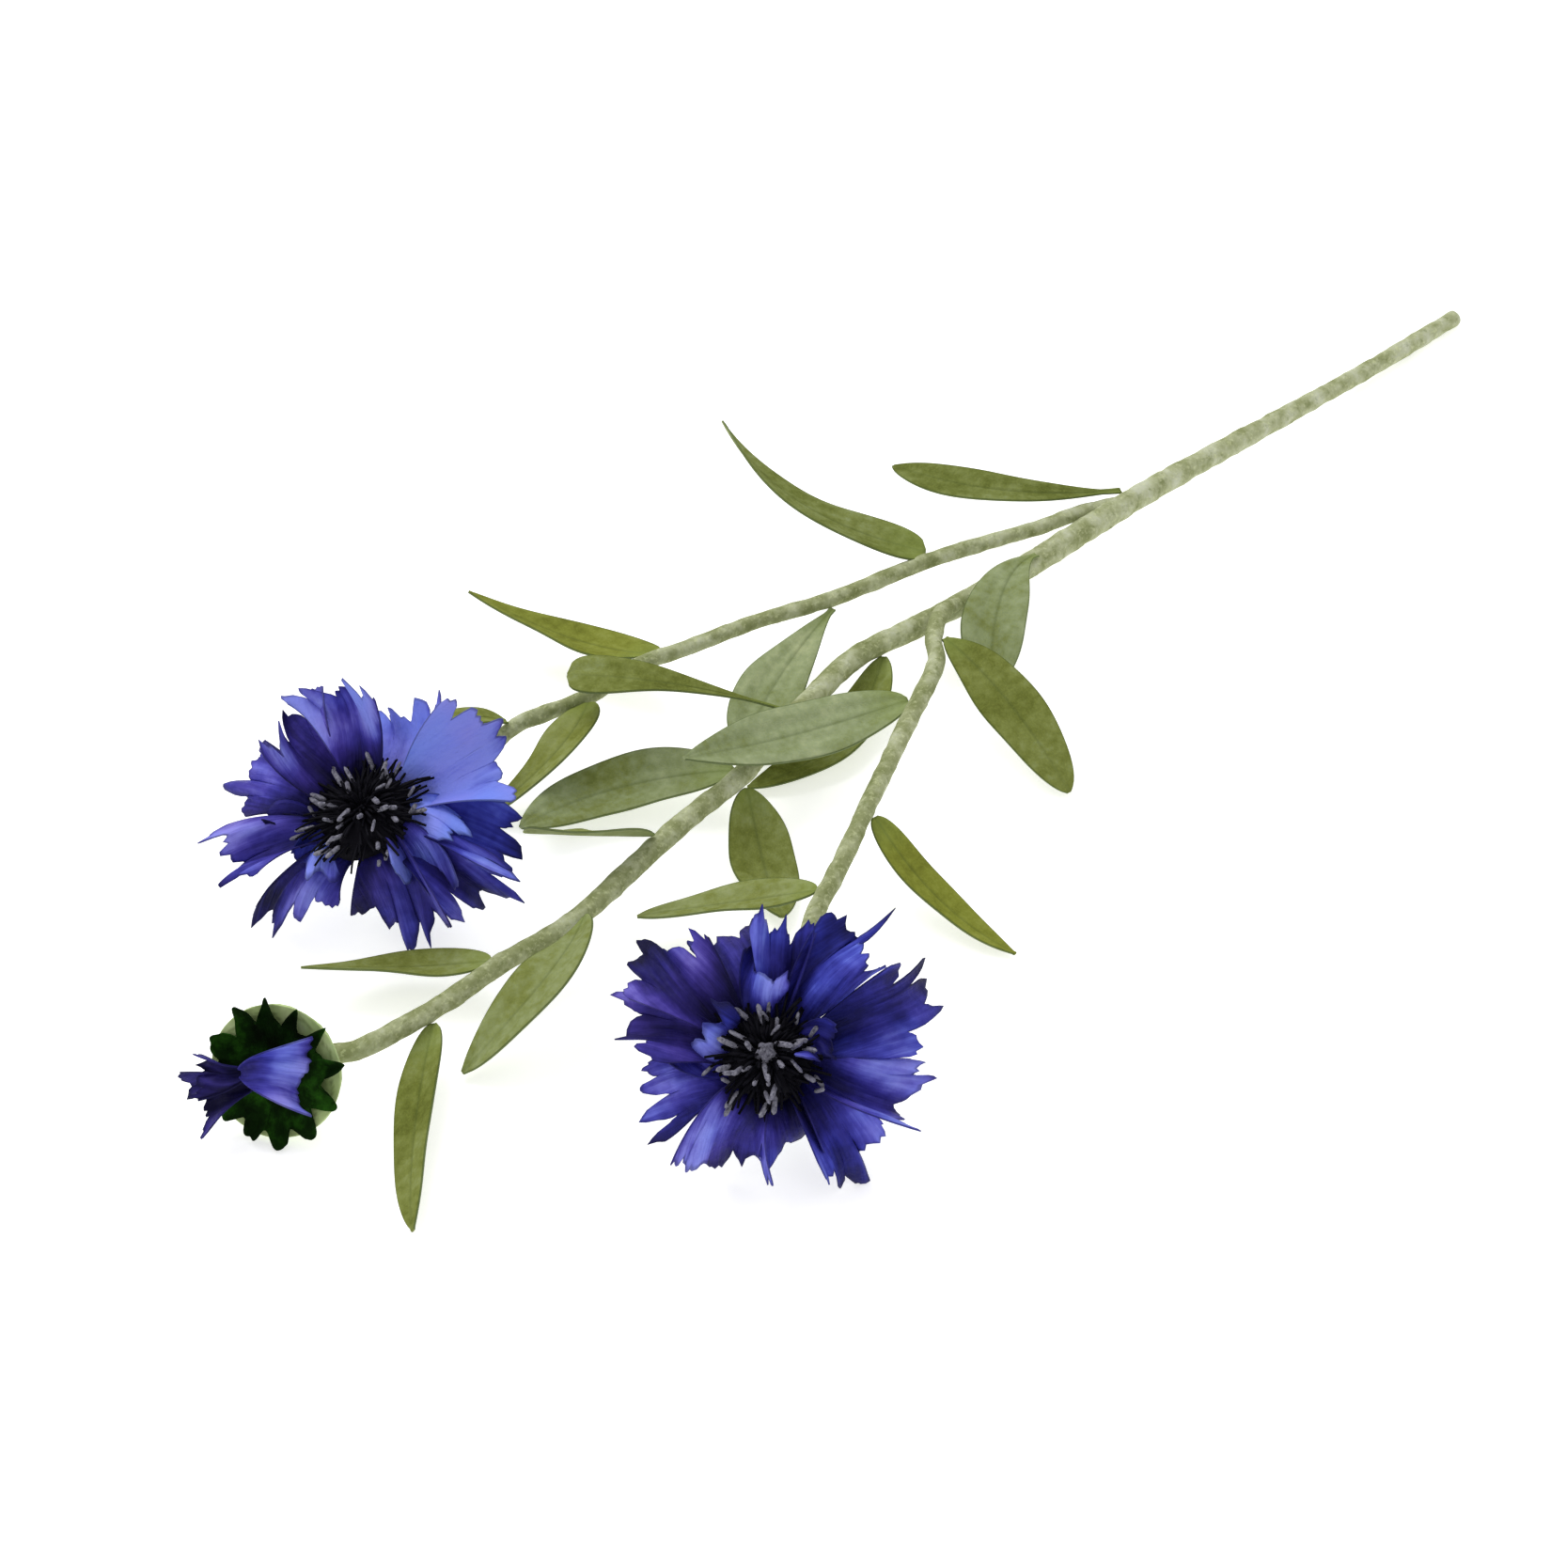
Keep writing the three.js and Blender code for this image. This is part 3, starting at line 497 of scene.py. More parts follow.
TAPE = tape_finish()
LEAF = leaf_finish()
PETAL = petal_finish()
STAMEN = stamen_finish()
RUFF_CLOTH = ruff_finish()
CALYX = calyx_finish()


# ---- stems ----
def stem_line(name):
    """Route points with the lead and the neck added, and their radii."""
    bloom = STEMS[name]["bloom"]
    route = np.array(STEMS[name]["route"], float)
    neck = np.array(HEADS[bloom]["neck"], float)
    lead = neck - NECK_LEAD * head_frame(bloom)[2]
    points = np.vstack([route[:, :3], lead, neck])
    radii = np.append(route[:, 3], [route[-1, 3]] * 2)
    return points, radii


def along_line(points, stations):
    """Points of the uniform Catmull-Rom curve through the given ones, at fractional stations. Between two
    points it is the cubic that leaves each in the direction from its neighbour before to the one after."""
    padded = np.vstack([2 * points[0] - points[1], points, 2 * points[-1] - points[-2]])
    stations = np.clip(np.asarray(stations, float), 0, len(points) - 1 - 1e-9)
    i = np.floor(stations).astype(int)
    t = (stations - i)[..., None]
    before, a, b, after = (padded[i + k] for k in range(4))
    leave, arrive = (b - before) / 2, (after - a) / 2
    cube, square = t ** 3, t ** 2
    return ((2 * cube - 3 * square + 1) * a + (cube - 2 * square + t) * leave
            + (3 * square - 2 * cube) * b + (cube - square) * arrive)


STEM_STEP = 0.7  # length of one row of a stem's mesh
STEM_SIDES = 20
STRETCH_SAMPLES = 60  # samples of a route between two of its points, to measure its length
WRAP_PITCH = 8.5  # length of one turn of the tape
PALE_LEAST = 0.62
PALE_STRETCH = (50, 115)  # x between which the tape turns paler towards the cut end


def stem_piece(name, seed):
    """Tube along the route. Its radius is the route's, times one plus a small ridge that winds round it once
    a pitch, plus low lumps that are products of sines of length and angle, and domed ends."""
    points, radii = stem_line(name)
    if "crotch" in STEMS[name]:
        points = np.vstack([STEMS[name]["crotch"][:3], points])
        radii = np.append(STEMS[name]["crotch"][3], radii)
    last = len(points) - 1
    samples = np.linspace(0, last, STRETCH_SAMPLES * last)
    dense = along_line(points, samples)
    length = np.append(0, np.cumsum(np.linalg.norm(np.diff(dense, axis=0), axis=1)))
    rows = int(length[-1] / STEM_STEP)
    at = np.linspace(0, length[-1], rows)
    stations = np.interp(at, length, samples)
    centre = along_line(points, stations)
    direction = unit(np.gradient(centre, axis=0))
    side = unit(np.cross(direction, UP))
    upright = np.cross(side, direction)
    angle = np.linspace(0, 2 * np.pi, STEM_SIDES, endpoint=False)[None, :]
    radius = np.interp(stations, np.arange(last + 1), radii)[:, None]
    run = at[:, None]
    turn = run / WRAP_PITCH - angle / (2 * np.pi) + 0.37 * np.sin(run / 31 + seed)
    ridge = 0.05 * (1 - (turn - np.floor(turn))) ** 3
    lumps = (0.035 * np.sin(run / 2.3 + 2 * angle + seed) * np.sin(run / 7.1 + seed * 2)
             + 0.03 * np.sin(run / 1.37 - angle + seed * 3) * np.sin(run / 4.3 + angle)
             + 0.03 * np.sin(run / 11 + seed) + 0.02 * np.sin(run / 0.9 + 3 * angle))
    ends = np.minimum(at, length[-1] - at)[:, None] / radius
    dome = np.sqrt(1 - (1 - np.clip(ends / 0.6, 0, 1)) ** 2) * 0.85 + 0.15
    r = radius * (1 + ridge + lumps) * dome
    rings = (centre[:, None] + r[..., None] * (np.cos(angle)[..., None] * side[:, None]
                                               + np.sin(angle)[..., None] * upright[:, None]))
    mesh_points, faces = tube_mesh(rings)
    pale = PALE_LEAST + (1 - PALE_LEAST) * smooth(*PALE_STRETCH, mesh_points[:, 0])
    return make_piece(name + "_taped", mesh_points, faces, TAPE, name, {"pale": pale})


# ---- leaves ----
LEAF_ROWS = 64
LEAF_COLUMNS = 24
LEAF_CUP = 0.18  # how far the margins stand up, as a share of half the width
LEAF_LEAST = 0.45  # least half width
LEAF_NECK = 0.3  # what the stalk adds to it at the base


def leaf_half_width(s, width, fullness, bluntness):
    """s^fullness (1 - s)^bluntness scaled to half the width at its peak, on a narrow stalk."""
    peak_at = fullness / (fullness + bluntness)
    peak = peak_at ** fullness * (1 - peak_at) ** bluntness
    blade = width / 2 * s ** fullness * (1 - s) ** bluntness / peak
    return np.maximum(blade, LEAF_LEAST) + LEAF_NECK * (1 - s) ** 4


def leaf_piece(name, row, seed):
    """Midrib from base to tip bent by a rise and a swing, 4 s (1 - s) times each. The blade stands to both
    sides of it, turned about it by a roll that changes along it, with the margins cupped up as |v|^1.5, a
    groove at the midrib, two pressed folds at each side and a gentle wave along the margins."""
    stem, station, tip, rise, swing, width, roll_base, roll_tip, fullness, bluntness, shade, yellow = row
    points, radii = stem_line(stem)
    on_stem, ahead = along_line(points, [station, station + 0.001])
    stem_direction = unit(ahead - on_stem)
    tip = np.array(tip, float)
    chord = tip - on_stem
    left = unit(np.array([-chord[1], chord[0], 0]))
    start = chord + 4 * rise * UP + 4 * swing * left
    start = unit(start - start @ stem_direction * stem_direction)
    radius = np.interp(station, np.arange(len(radii)), radii)
    base = on_stem + start * (radius + GAP + LEAF_THICKNESS / 2)
    chord = tip - base
    s = np.linspace(0, 1, LEAF_ROWS + 1)[:, None]
    v = np.linspace(-1, 1, LEAF_COLUMNS + 1)[None, :]
    middle = base + chord * s + 4 * s * (1 - s) * (rise * UP + swing * left)
    along = unit(chord + 4 * (1 - 2 * s) * (rise * UP + swing * left))
    level = unit(np.cross(along, UP))
    upright = np.cross(level, along)
    roll = np.radians(lerp(roll_base, roll_tip, s))
    side = np.cos(roll) * level + np.sin(roll) * upright
    face = np.cross(side, along)
    half = leaf_half_width(s, width, fullness, bluntness)
    margin = 1 + 0.05 * np.sin(9 * s + seed) * np.sin(5 * s + 2 * seed + np.sign(v))
    groove = -0.35 * np.exp(-((v / 0.1) ** 2)) * np.sin(np.pi * np.clip(s * 1.06, 0, 1))
    folds = 0.16 * np.cos(3 * np.pi * np.abs(v)) * half / 6
    wave = 0.5 * np.abs(v) ** 2 * np.sin(7 * s + seed + 0.8 * np.sign(v)) * half / 6
    height = LEAF_CUP * half * np.abs(v) ** 1.5 + groove + folds + wave
    grid = (middle[:, None] + side[:, None] * (v * half * margin)[..., None]
            + face[:, None] * height[..., None])
    mesh_points, faces = sheet_mesh(grid, LEAF_THICKNESS)
    length = np.linalg.norm(chord)
    uv = np.stack([np.broadcast_to(v * half, grid.shape[:2]),
                   np.broadcast_to(s * length, grid.shape[:2])], -1)
    whole = np.ones(grid.shape[:2])
    tip_edge = smooth(length - 1.5, length, s * length)
    marks = {
        "shade": whole * shade,
        "yellow": whole * yellow,
        "along": whole * s,
        "edge": np.maximum(np.abs(v) ** 4 * whole, tip_edge * 0.8),
        "rib": np.exp(-((v * half / 0.35) ** 2)) * (1 - s) ** 0.3,
    }
    marks = {mark: np.stack([values, values]) for mark, values in marks.items()}
    marks["under"] = np.stack([whole, whole * 0])
    return make_piece(name + "_cloth", mesh_points, faces, LEAF, name, marks,
                      np.stack([uv, uv]) / CLOTH_UNIT)


# ---- florets ----
FLORET_ROWS = 44
LOBE_COLUMNS = 12  # columns of the mesh in one lobe
TUBE_HALF_WIDTH = 1.2
TUBE_WRAP = 190
LEAST_HEIGHT = 0.3  # a petal that would sink into the surface lies on it instead


def floret_surface(root, values, chance):
    """A trumpet slit open along its top. An arc of cloth starts as a narrow tube and widens as s^0.9 to the
    lip, while its wrap opens as s^0.6. The line from root to tip bows by 4 s (1 - s) upwards and, by
    chance, to one side, the section twists along it, and the lip curls beyond its middle. The lip is cut into
    lobes, each between a round arch, 1 - |2q|^2 of the place q in the lobe, and a pointed one, and edged with
    small scallops. Long lobes are slender and pointed. Broad folds run down the cloth, the lobes sway aside
    and flick in or out at their ends, and waves across and along the cloth grow towards the lip."""
    angle, reach, height, bow, width, gape, twist, curl, cut, root_shade, lip_shade, tint, lobes = values

    def polar(degrees, radius, z):
        turn = math.radians(degrees)
        return np.array([radius * math.cos(turn), radius * math.sin(turn), z])

    start = polar(*root)
    chord = polar(angle, reach, height) - start
    around = polar(angle + 90, 1, 0)
    lobes = np.array(lobes)
    count = len(lobes)
    slender = (lobes / lobes.mean()) ** 2
    widths = chance.uniform(0.8, 1.2, count) / slender
    cuts = np.append(0, np.cumsum(widths)) / widths.sum() * 2 - 1
    column = np.arange(count * LOBE_COLUMNS + 1)
    lobe = np.minimum(column // LOBE_COLUMNS, count - 1)
    q = -0.5 * np.cos(np.pi * (column / LOBE_COLUMNS - lobe))[None, :]
    v = cuts[lobe] + (cuts[lobe + 1] - cuts[lobe]) * (q + 0.5)
    ends = np.concatenate([lobes[:1], lobes, lobes[-1:]])
    notches = (ends[:-1] + ends[1:]) / 2 - cut * chance.uniform(0.7, 1.3, count + 1)
    notch = np.where(q < 0, notches[lobe], notches[lobe + 1])
    edge = np.abs(2 * q)
    pointed = np.clip(chance.uniform(-0.8, 0, count) + 0.6 * slender, 0, 1)[lobe]
    point = lerp(1 - edge ** 2, np.clip(1 - edge, 0, 1) ** 0.8, pointed)
    hook = chance.uniform(-0.06, 0.06, count)[lobe] * np.exp(-((edge / 0.2) ** 2))
    teeth = 0.04 * np.abs(np.sin(15 * v + chance.uniform(0, 6))) + 0.02 * np.abs(np.sin(34 * v + 1))
    lip = notch + (lobes[lobe] - 0.02 - notch) * point + np.clip(hook, 0, 1) + teeth - 0.03
    t = np.linspace(0, 1, FLORET_ROWS + 1)[:, None]
    s = t * (1 - (1 - lip) * t ** 2)
    sway = chance.uniform(-0.4, 0.4, count)[lobe] / count * point * smooth(0.7, 1.1, s)
    v = v + sway
    bend_line = bow * UP + chance.uniform(-2.5, 2.5) * around
    bowed = chord + 4 * (1 - 2 * s[..., None]) * bend_line
    along = unit(bowed)
    level = unit(around - (along @ around)[..., None] * along)
    over = np.cross(along, level)
    turned = np.radians(twist) * s[..., None]
    side = np.cos(turned) * level + np.sin(turned) * over
    inward = np.cos(turned) * over - np.sin(turned) * level
    wrap = np.radians(lerp(TUBE_WRAP, gape, np.clip(s, 0, 1) ** 0.6))
    half = lerp(TUBE_HALF_WIDTH, width / 2, s ** 0.9)
    bend = 2 * half / wrap
    turn = v * wrap / 2
    phases = chance.uniform(0, 2 * np.pi, 5)
    keel = (chance.uniform(-0.2, 0.8, count)[lobe] * np.cos(2 * np.pi * q) * smooth(0.5, 1, s)
            + chance.uniform(1.2, 2.4) * np.cos(chance.uniform(3, 5) * v + phases[4]) * s)
    ruffle = s ** 1.4 * (0.9 * np.sin(5.1 * v + 3 * s + phases[0]) + 0.3 * np.sin(13 * v + 7 * s + phases[1]))
    billow = s ** 1.4 * (1.7 * np.sin(2.6 * v + 1.5 * s + phases[2])
                         + 1.1 * np.sin(5.5 * s + 1.5 * v + phases[3]))
    flick = chance.uniform(-2.4, 2.4, count)[lobe] * smooth(0.6, 1.1, s) * point
    lift = curl * np.clip((s - 0.45) / 0.55, 0, None) ** 2 + keel + ruffle + billow + flick
    grid = (start + chord * s[..., None] + bend_line * (4 * s * (1 - s))[..., None]
            + side * (bend * np.sin(turn))[..., None]
            + inward * (bend * (1 - np.cos(turn)) + lift)[..., None])
    length = np.linalg.norm(chord)
    lip_edge = smooth(1.4, 0.0, (1 - t) * length * 0.9)
    side_edge = smooth(0.93, 1.0, np.abs(v)) * smooth(0.1, 0.4, s)
    marks = {
        # painted shade: a low root shade darkens the trumpet's throat; a high lip shade is partly painted
        # light where the lip faces the lamp, and the rest is the cloth's own tone
        "shade": lerp(root_shade, lip_shade, smooth(0.2, 0.75, s)) - 0.25 * smooth(0.85, 1.15, s),
        # painted light on the crests of the folds and waves, and painted shade in their hollows
        "painted_fold_shading": np.clip(0.5 + (keel + ruffle + 0.6 * billow) / 4, 0, 1),
        "tint": tint * np.ones(s.shape),
        "edge": np.maximum(lip_edge, side_edge),
    }
    uv = np.stack([v * half, s * length], -1) / CLOTH_UNIT
    return grid, marks, uv


def floret_piece(name, bloom, root, values, seed):
    grid, marks, uv = floret_surface(root, values, np.random.default_rng(seed))
    grid = placed(bloom, grid)
    grid[..., 2] = np.maximum(grid[..., 2], LEAST_HEIGHT)
    points, faces = sheet_mesh(grid, FLORET_THICKNESS)
    both = {mark: np.stack([entry, entry]) for mark, entry in marks.items()}
    return make_piece(name + "_petal", points, faces, PETAL, name, both, np.stack([uv, uv]))


# ---- stamens ----
ROD_ROWS = 10
ROD_SIDES = 6
THREADS = 230
RODS = 40
ROD_ACROSS = np.array([0.31, 0.17, 0.94])  # a direction that no rod lies along, to set its sections by
GOLDEN_ANGLE = 2.39996
TUFT_FLOOR = 14.9
TUFT_TOP = 22.5
TUFT_FALL = 5.0  # how much lower the tuft's rim is than its top
CUSHION_ROWS = 16
CUSHION_SIDES = 60
CUSHION_HEIGHT = 5.2
STUB_FOOT = 18
STUB_HEIGHT = 6
STUB_TIP = 0.7  # how grey the stub is


def joined(parts):
    """Points and faces of several meshes as one."""
    offsets = np.cumsum([0] + [len(points) for points, _ in parts[:-1]])
    faces = [[corner + int(offset) for corner in face]
             for (_, mesh), offset in zip(parts, offsets) for face in mesh]
    return np.concatenate([points for points, _ in parts]), faces


def rods(centre, thick):
    """Closed tubes, one for each row of centre points, with the given radius at each point."""
    direction = unit(np.gradient(centre, axis=1))
    side = unit(np.cross(direction, ROD_ACROSS))
    other = np.cross(side, direction)
    angle = np.linspace(0, 2 * np.pi, ROD_SIDES, endpoint=False)
    circle = np.cos(angle)[:, None] * side[:, :, None] + np.sin(angle)[:, None] * other[:, :, None]
    rings = centre[:, :, None] + circle * np.broadcast_to(thick, centre.shape[:2])[:, :, None, None]
    return [tube_mesh(ring) for ring in rings]


def stamen_piece(bloom, seed, radius, heart):
    """A lumpy black cushion with dark threads and grey rods standing in it. Both lie in the golden angle's
    spiral on a dome that falls as the square of the radius. A thread rises as 1 - (1 - t)^2 and bends out as
    t^1.6. A rod is a short straight capsule that points outwards, upwards or aside by chance. Where heart is
    set, a rough stub stands in the middle."""
    chance = np.random.default_rng(seed)
    parts, tips = [], []

    def add(meshes, tip):
        parts.extend(meshes)
        tips.extend(np.full(len(points), tip) for points, _ in meshes)

    def spiral(count, start, power):
        k = np.arange(count)
        share = start + (1 - start) * ((k + 0.5) / count) ** power
        return share, k * GOLDEN_ANGLE + chance.uniform(-0.3, 0.3, count)

    def dome(share):
        return TUFT_TOP - TUFT_FALL * share ** 2

    rise = np.linspace(0, np.pi / 2, CUSHION_ROWS)[:, None]
    turn = np.linspace(0, 2 * np.pi, CUSHION_SIDES, endpoint=False)[None, :]
    lump = 1 + 0.07 * np.sin(9 * turn + 2 * rise) * np.sin(6 * rise) + 0.05 * np.sin(4 * turn)
    wide = 0.66 * radius * np.cos(rise) * lump
    swell = TUFT_FLOOR + CUSHION_HEIGHT * np.sin(rise) ** 0.7 * lump
    cushion = np.stack([wide * np.cos(turn), wide * np.sin(turn), swell], -1)
    add([tube_mesh(cushion)], 0)

    t = np.linspace(0, 1, ROD_ROWS)
    share, around = spiral(THREADS, 0, 0.5)
    foot = 3.0 * share[:, None]
    reach = (share * radius * chance.uniform(0.8, 1.1, THREADS))[:, None]
    out = foot + (reach - foot) * t ** 1.6
    tall = dome(share) + chance.uniform(-1.5, 1.2, THREADS) - TUFT_FLOOR
    z = TUFT_FLOOR + tall[:, None] * (1 - (1 - t) ** 2)
    swirl = around[:, None] + chance.uniform(-0.5, 0.5, THREADS)[:, None] * t
    centre = np.stack([out * np.cos(swirl), out * np.sin(swirl), z], -1)
    add(rods(centre, lerp(0.42, 0.25, t)[None, :]), 0)

    share, around = spiral(RODS, 0.15, 0.75)
    share = share * chance.uniform(0.88, 1.08, RODS)
    outward = np.stack([np.cos(around), np.sin(around), 0 * around], -1)
    aside = np.cross(UP, outward)
    lean_out, lean_up, lean_aside = (chance.uniform(low, high, (RODS, 1))
                                     for low, high in ((0.3, 1.3), (0.2, 0.9), (-0.7, 0.7)))
    direction = unit(outward * lean_out + UP * lean_up + aside * lean_aside)
    length = chance.uniform(2.4, 4.8, (RODS, 1))
    foot = outward * (share * radius * 0.86)[:, None] + UP * (dome(share) - 1.2)[:, None]
    centre = foot[:, None] + (direction * length)[:, None] * t[:, None]
    capsule = np.sqrt(np.clip(1 - np.abs(2 * t - 1) ** 6, 0.06, 1))
    add(rods(centre, (chance.uniform(0.36, 0.58, (RODS, 1)) * capsule)), 1)

    if heart:
        stub = lerp(2.6, 1.3, t[:, None]) * (1 + 0.14 * np.sin(5 * turn + 1)) * capsule[:, None]
        stub_z = STUB_FOOT + STUB_HEIGHT * t[:, None] + 0 * turn
        add([tube_mesh(np.stack([stub * np.cos(turn), stub * np.sin(turn), stub_z], -1))], STUB_TIP)
    points, faces = joined(parts)
    return make_piece(bloom + "_stamen_tuft", placed(bloom, points), faces, STAMEN,
                      bloom + "_stamens", {"tip": np.concatenate(tips)})


# ---- turned pieces ----
TURNED_SIDES = 72
TURNED_ROWS = 90
TURNED_SHADE = 0.2
SCALE_COUNT = 9  # scales round the cup
SCALE_PITCH = 1.7  # height of one row of scales
SHADED_THROAT = (8.6, 9.2)  # heights between which a cup turns to painted shade, near black, towards its mouth


def turned_piece(name, bloom, profile, material, replaces, scales=0.0):
    """Profile of (radius, height) turned about the bloom's axis. Scale rows are a saw of the height, shifted
    by a scallop of the angle, that lifts the surface by the given amount."""
    profile = np.array(profile, float)
    steps = np.linalg.norm(np.diff(profile, axis=0), axis=1)
    run = np.append(0, np.cumsum(steps))
    fine = np.unique(np.concatenate([run, np.linspace(0, run[-1], TURNED_ROWS)]))
    radius = np.interp(fine, run, profile[:, 0])[1:-1, None]
    height = np.interp(fine, run, profile[:, 1])[1:-1, None]
    angle = np.linspace(0, 2 * np.pi, TURNED_SIDES, endpoint=False)[None, :]
    row = height / SCALE_PITCH - 0.45 * np.abs(np.cos(SCALE_COUNT * angle / 2))
    saw = row - np.floor(row)
    lift = scales * (1 - saw) * smooth(1.0, 3.0, radius)
    rings = np.stack([(radius + lift) * np.cos(angle), (radius + lift) * np.sin(angle),
                      height + 0 * angle], -1)
    points, faces = tube_mesh(rings)
    edge = smooth(0.8, 1.0, saw) * (scales > 0)
    # painted shade: the throat and the top end cap get the mark for near black
    painted_throat_shade = smooth(*SHADED_THROAT, height) + 0 * angle
    marks = {
        "edge": np.append(edge.ravel(), [0, 0]),
        "painted_throat_shade": np.append(painted_throat_shade.ravel(), [0, 1]),
        "shade": np.full(len(points), TURNED_SHADE),
    }
    uv = np.stack([np.broadcast_to(angle, rings.shape[:2]),
                   np.broadcast_to(height / CLOTH_UNIT, rings.shape[:2])], -1)
    uv = np.vstack([uv.reshape(-1, 2), np.zeros((2, 2))])
    return make_piece(name, placed(bloom, points), faces, material, replaces, marks, uv)


RUFF_RINGS = 30
RUFF_COLUMNS = 24  # columns of the mesh in one lobe


def ruff_piece():
    """Shallow dish that rises as the square of the radius, with a lobed outline: the radius less a cut
    times a power of |cos| of the angle, plus small teeth. On the sharp side the power is 1 and the cuts are
    deep, which makes pointed lobes. On the other it is nearly 4 and they are shallow, which makes broad
    ones. Creases run from the middle out."""
    angle = np.linspace(0, 2 * np.pi, RUFF_COLUMNS * RUFF["lobes"], endpoint=False)[None, :]
    out = np.linspace(0.06, 1, RUFF_RINGS)[:, None]
    sharp = np.cos(angle - math.radians(RUFF["sharp_side"]))
    power = 2.4 - 1.4 * sharp
    notch = np.abs(np.cos(RUFF["lobes"] * angle / 2 + 0.5 * np.sin(2 * angle))) ** power
    teeth = 0.5 * np.abs(np.sin(RUFF["lobes"] * 1.5 * angle + 1)) + 0.5 * np.sin(4 * angle)
    cut = RUFF["cut"] * (1 + 0.3 * sharp)
    radius = out * (RUFF["radius"] - 0.4 + (teeth - cut * notch) * out ** 3)
    crease = (0.4 * np.sin(RUFF["lobes"] * 2 * angle + 4 * out) * out ** 2
              + 0.5 * out ** 3 * np.sin(4 * angle + 1))
    height = lerp(RUFF["floor"], RUFF["rim"], out ** 2) + crease
    half = RUFF["thickness"] / 2
    over = np.stack([radius * np.cos(angle), radius * np.sin(angle), height + half], -1)
    under = np.stack([radius * np.cos(angle), radius * np.sin(angle), height - half], -1)
    points, faces = tube_mesh(np.concatenate([under, over[::-1]]))
    uv = np.stack([np.broadcast_to(angle * 2, radius.shape), np.broadcast_to(out, radius.shape)], -1)
    uv = np.vstack([np.concatenate([uv, uv[::-1]]).reshape(-1, 2), np.zeros((2, 2))])
    return make_piece("bud_ruff_cloth", placed("bud", points), faces, RUFF_CLOTH, "bud_ruff",
                      uv=uv)


# ---- the spray ----
for number, stem_name in enumerate(STEMS):
    stem_piece(stem_name, STEM_PHASE_STEP * number + STEM_PHASE)

for number, (leaf_name, leaf_row) in enumerate(LEAVES.items()):
    leaf_piece(leaf_name, leaf_row, LEAF_PHASE_STEP * number)

for bloom_name, group in FLORETS.items():
    turned_piece(bloom_name + "_calyx_scales", bloom_name, CALYX_PROFILE, CALYX,
                 bloom_name + "_calyx", scales=0.35)
    stamen_piece(bloom_name, STAMEN_SEED, group["tuft"], group["heart"])
    outer, inner = group["outer"], group["inner"]
    for number, floret in enumerate(outer):
        place = (group["first_root"] + 360 * number / len(outer), OUTER_ROOT["radius"], OUTER_ROOT["height"])
        floret_piece(f"{bloom_name}_floret_{number + 1}", bloom_name, place, floret, number + FLORET_SEED)
    for number, floret in enumerate(inner, len(outer)):
        place = (floret[0], INNER_ROOT["radius"], INNER_ROOT["height"])
        floret_piece(f"{bloom_name}_floret_{number + 1}", bloom_name, place, floret, number + FLORET_SEED)

turned_piece("bud_calyx_cup", "bud", BUD_CALYX_PROFILE, CALYX, "bud_calyx", scales=0.25)
turned_piece("bud_core_rolled", "bud", BUD_CORE_PROFILE, PETAL, "bud_core")
ruff_piece()
for number, (petal_root, floret) in enumerate(BUD_FLORETS, 1):
    floret_piece(f"bud_floret_{number}", "bud", petal_root, floret, BUD_SEED_STEP * number + BUD_FLORET_SEED)

# ---- stage, light and camera ----
FLOOR_SIZE = 6.0
FLOOR_GREY = 0.88
FLOOR_GLOW = 0.52  # the floor is lit from below as on a light table, so shadows stay faint
VIEW_DISTANCE = 1.0
VIEW_ELEVATION = 40.0
VIEW_HEADING = 230.0  # direction from the aim to the camera, turned from +X
HALF_VIEW = 0.1666  # tangent of half the angle of view
SENSOR = 36.0
WINDOW_PLACE = (-0.15, 1.2, 1.8)
WINDOW_SIZE = 1.6
WINDOW_POWER = 24
SKY_STRENGTH = 0.8


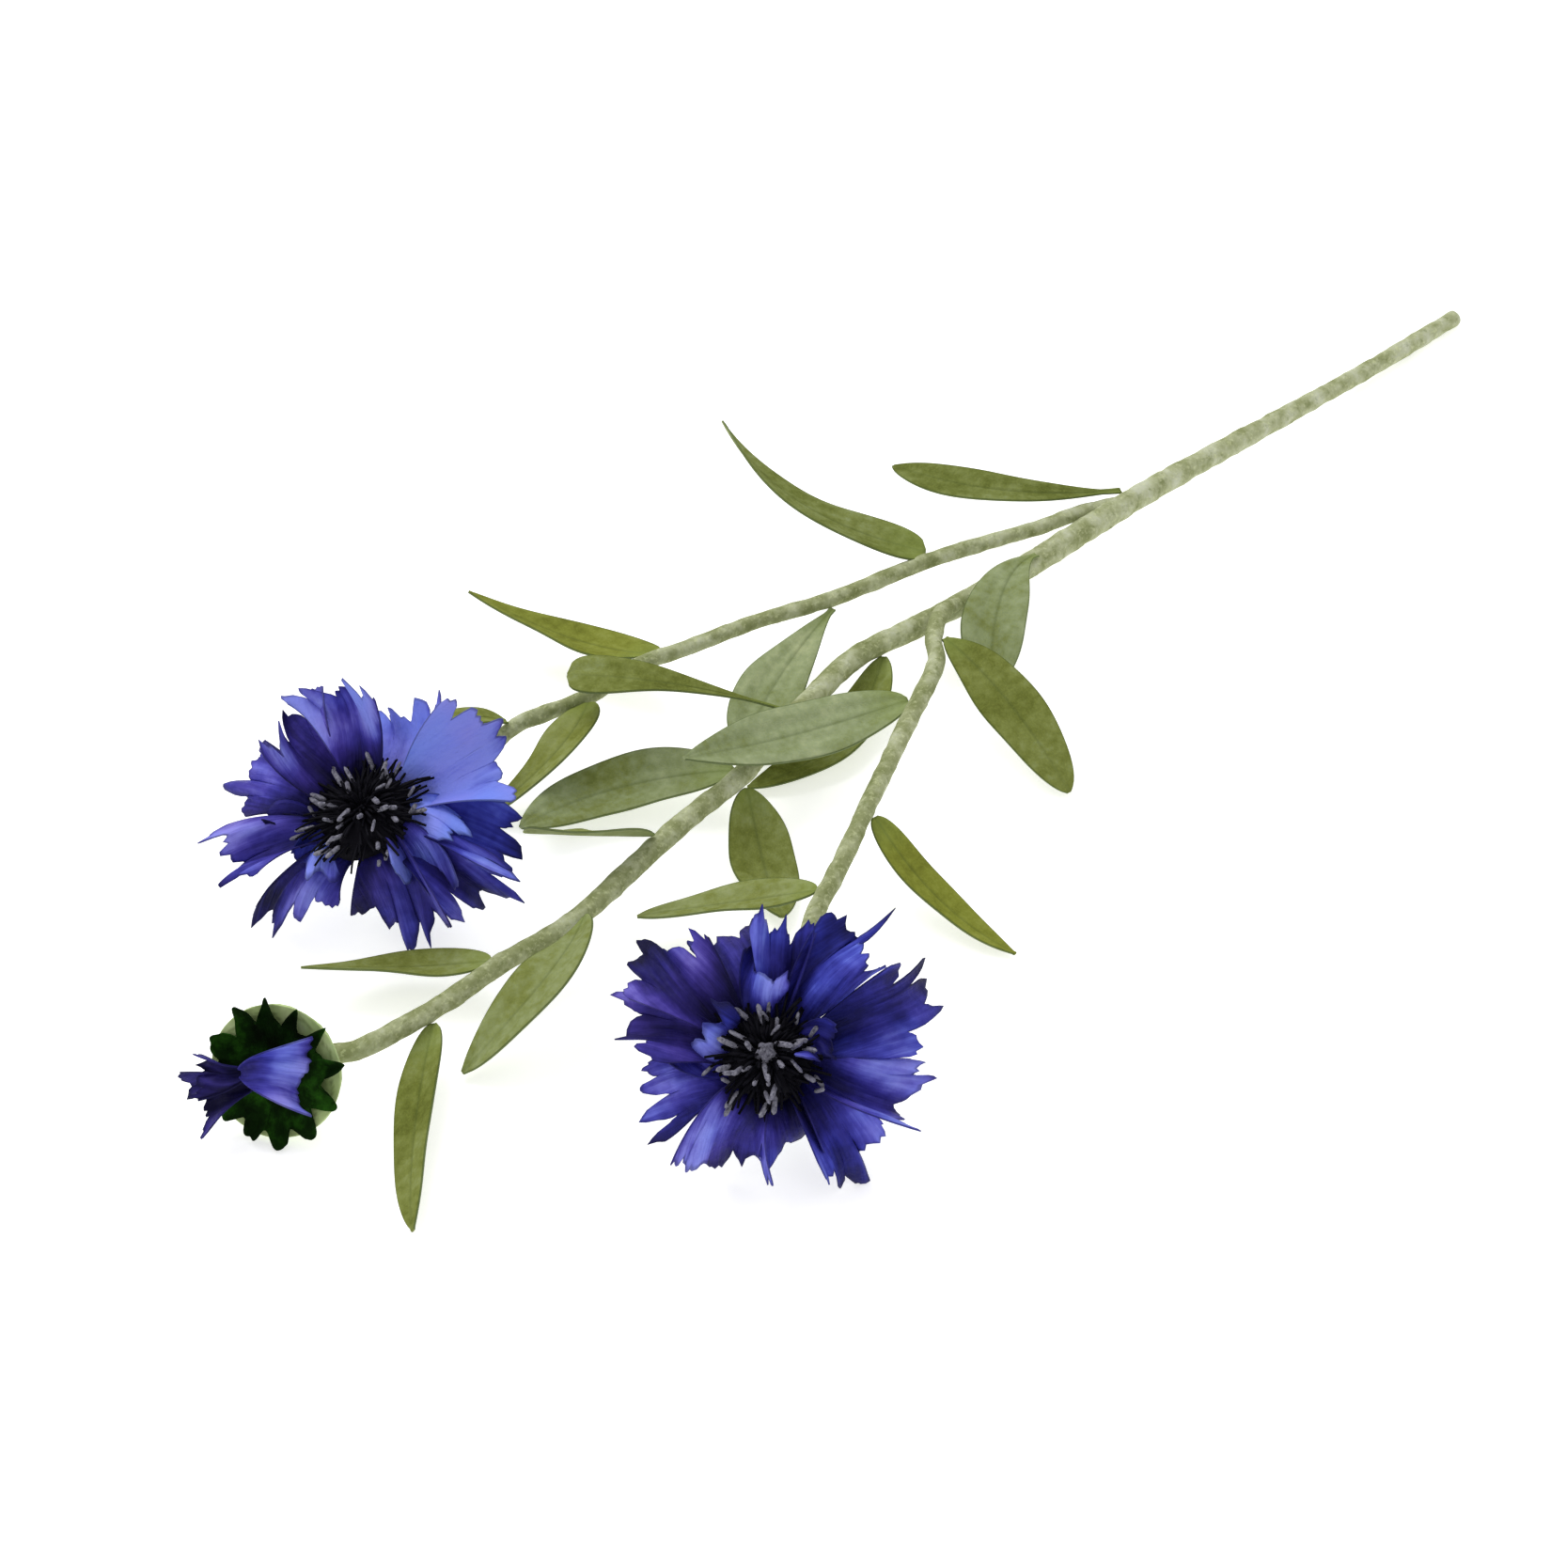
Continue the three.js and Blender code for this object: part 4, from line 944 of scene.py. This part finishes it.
def floor():
    mesh = bpy.data.meshes.new("floor")
    half = FLOOR_SIZE / 2
    corners = [(-half, -half, 0), (half, -half, 0), (half, half, 0), (-half, half, 0)]
    mesh.from_pydata(corners, [], [(0, 1, 2, 3)])
    finish = Finish("floor", 0.9, specular=0.1)
    mesh.materials.append(finish.material)
    finish.skin.inputs["Base Color"].default_value = (FLOOR_GREY, FLOOR_GREY, FLOOR_GREY, 1)
    finish.skin.inputs["Emission Color"].default_value = (1, 1, 1, 1)
    finish.skin.inputs["Emission Strength"].default_value = FLOOR_GLOW
    board = bpy.data.objects.new("floor", mesh)
    bpy.context.scene.collection.objects.link(board)


def soft_light(name, place, aim, size, power):
    data = bpy.data.lights.new(name, "AREA")
    data.shape = "DISK"
    data.size = size
    data.energy = power
    lamp = bpy.data.objects.new(name, data)
    lamp.location = place
    lamp.rotation_euler = (Vector(aim) - Vector(place)).to_track_quat("-Z", "Y").to_euler()
    bpy.context.scene.collection.objects.link(lamp)


def camera():
    aim = Vector(-MIDDLE * MM)
    heading, elevation = math.radians(VIEW_HEADING), math.radians(VIEW_ELEVATION)
    back = Vector((math.cos(heading) * math.cos(elevation), math.sin(heading) * math.cos(elevation),
                   math.sin(elevation)))
    data = bpy.data.cameras.new("camera")
    data.sensor_fit = "HORIZONTAL"
    data.sensor_width = SENSOR
    data.lens = SENSOR / 2 / HALF_VIEW
    data.clip_start = 0.05
    eye = bpy.data.objects.new("camera", data)
    eye.location = aim + back * VIEW_DISTANCE
    eye.rotation_euler = (-back).to_track_quat("-Z", "Y").to_euler()
    bpy.context.scene.collection.objects.link(eye)
    bpy.context.scene.camera = eye


floor()
camera()
soft_light("window", WINDOW_PLACE, (0, 0, 0), WINDOW_SIZE, WINDOW_POWER)
world = bpy.data.worlds.new("studio")
world.use_nodes = True
world.node_tree.nodes["Background"].inputs["Color"].default_value = (1, 1, 1, 1)
world.node_tree.nodes["Background"].inputs["Strength"].default_value = SKY_STRENGTH
bpy.context.scene.world = world
bpy.context.scene.view_settings.view_transform = "Standard"
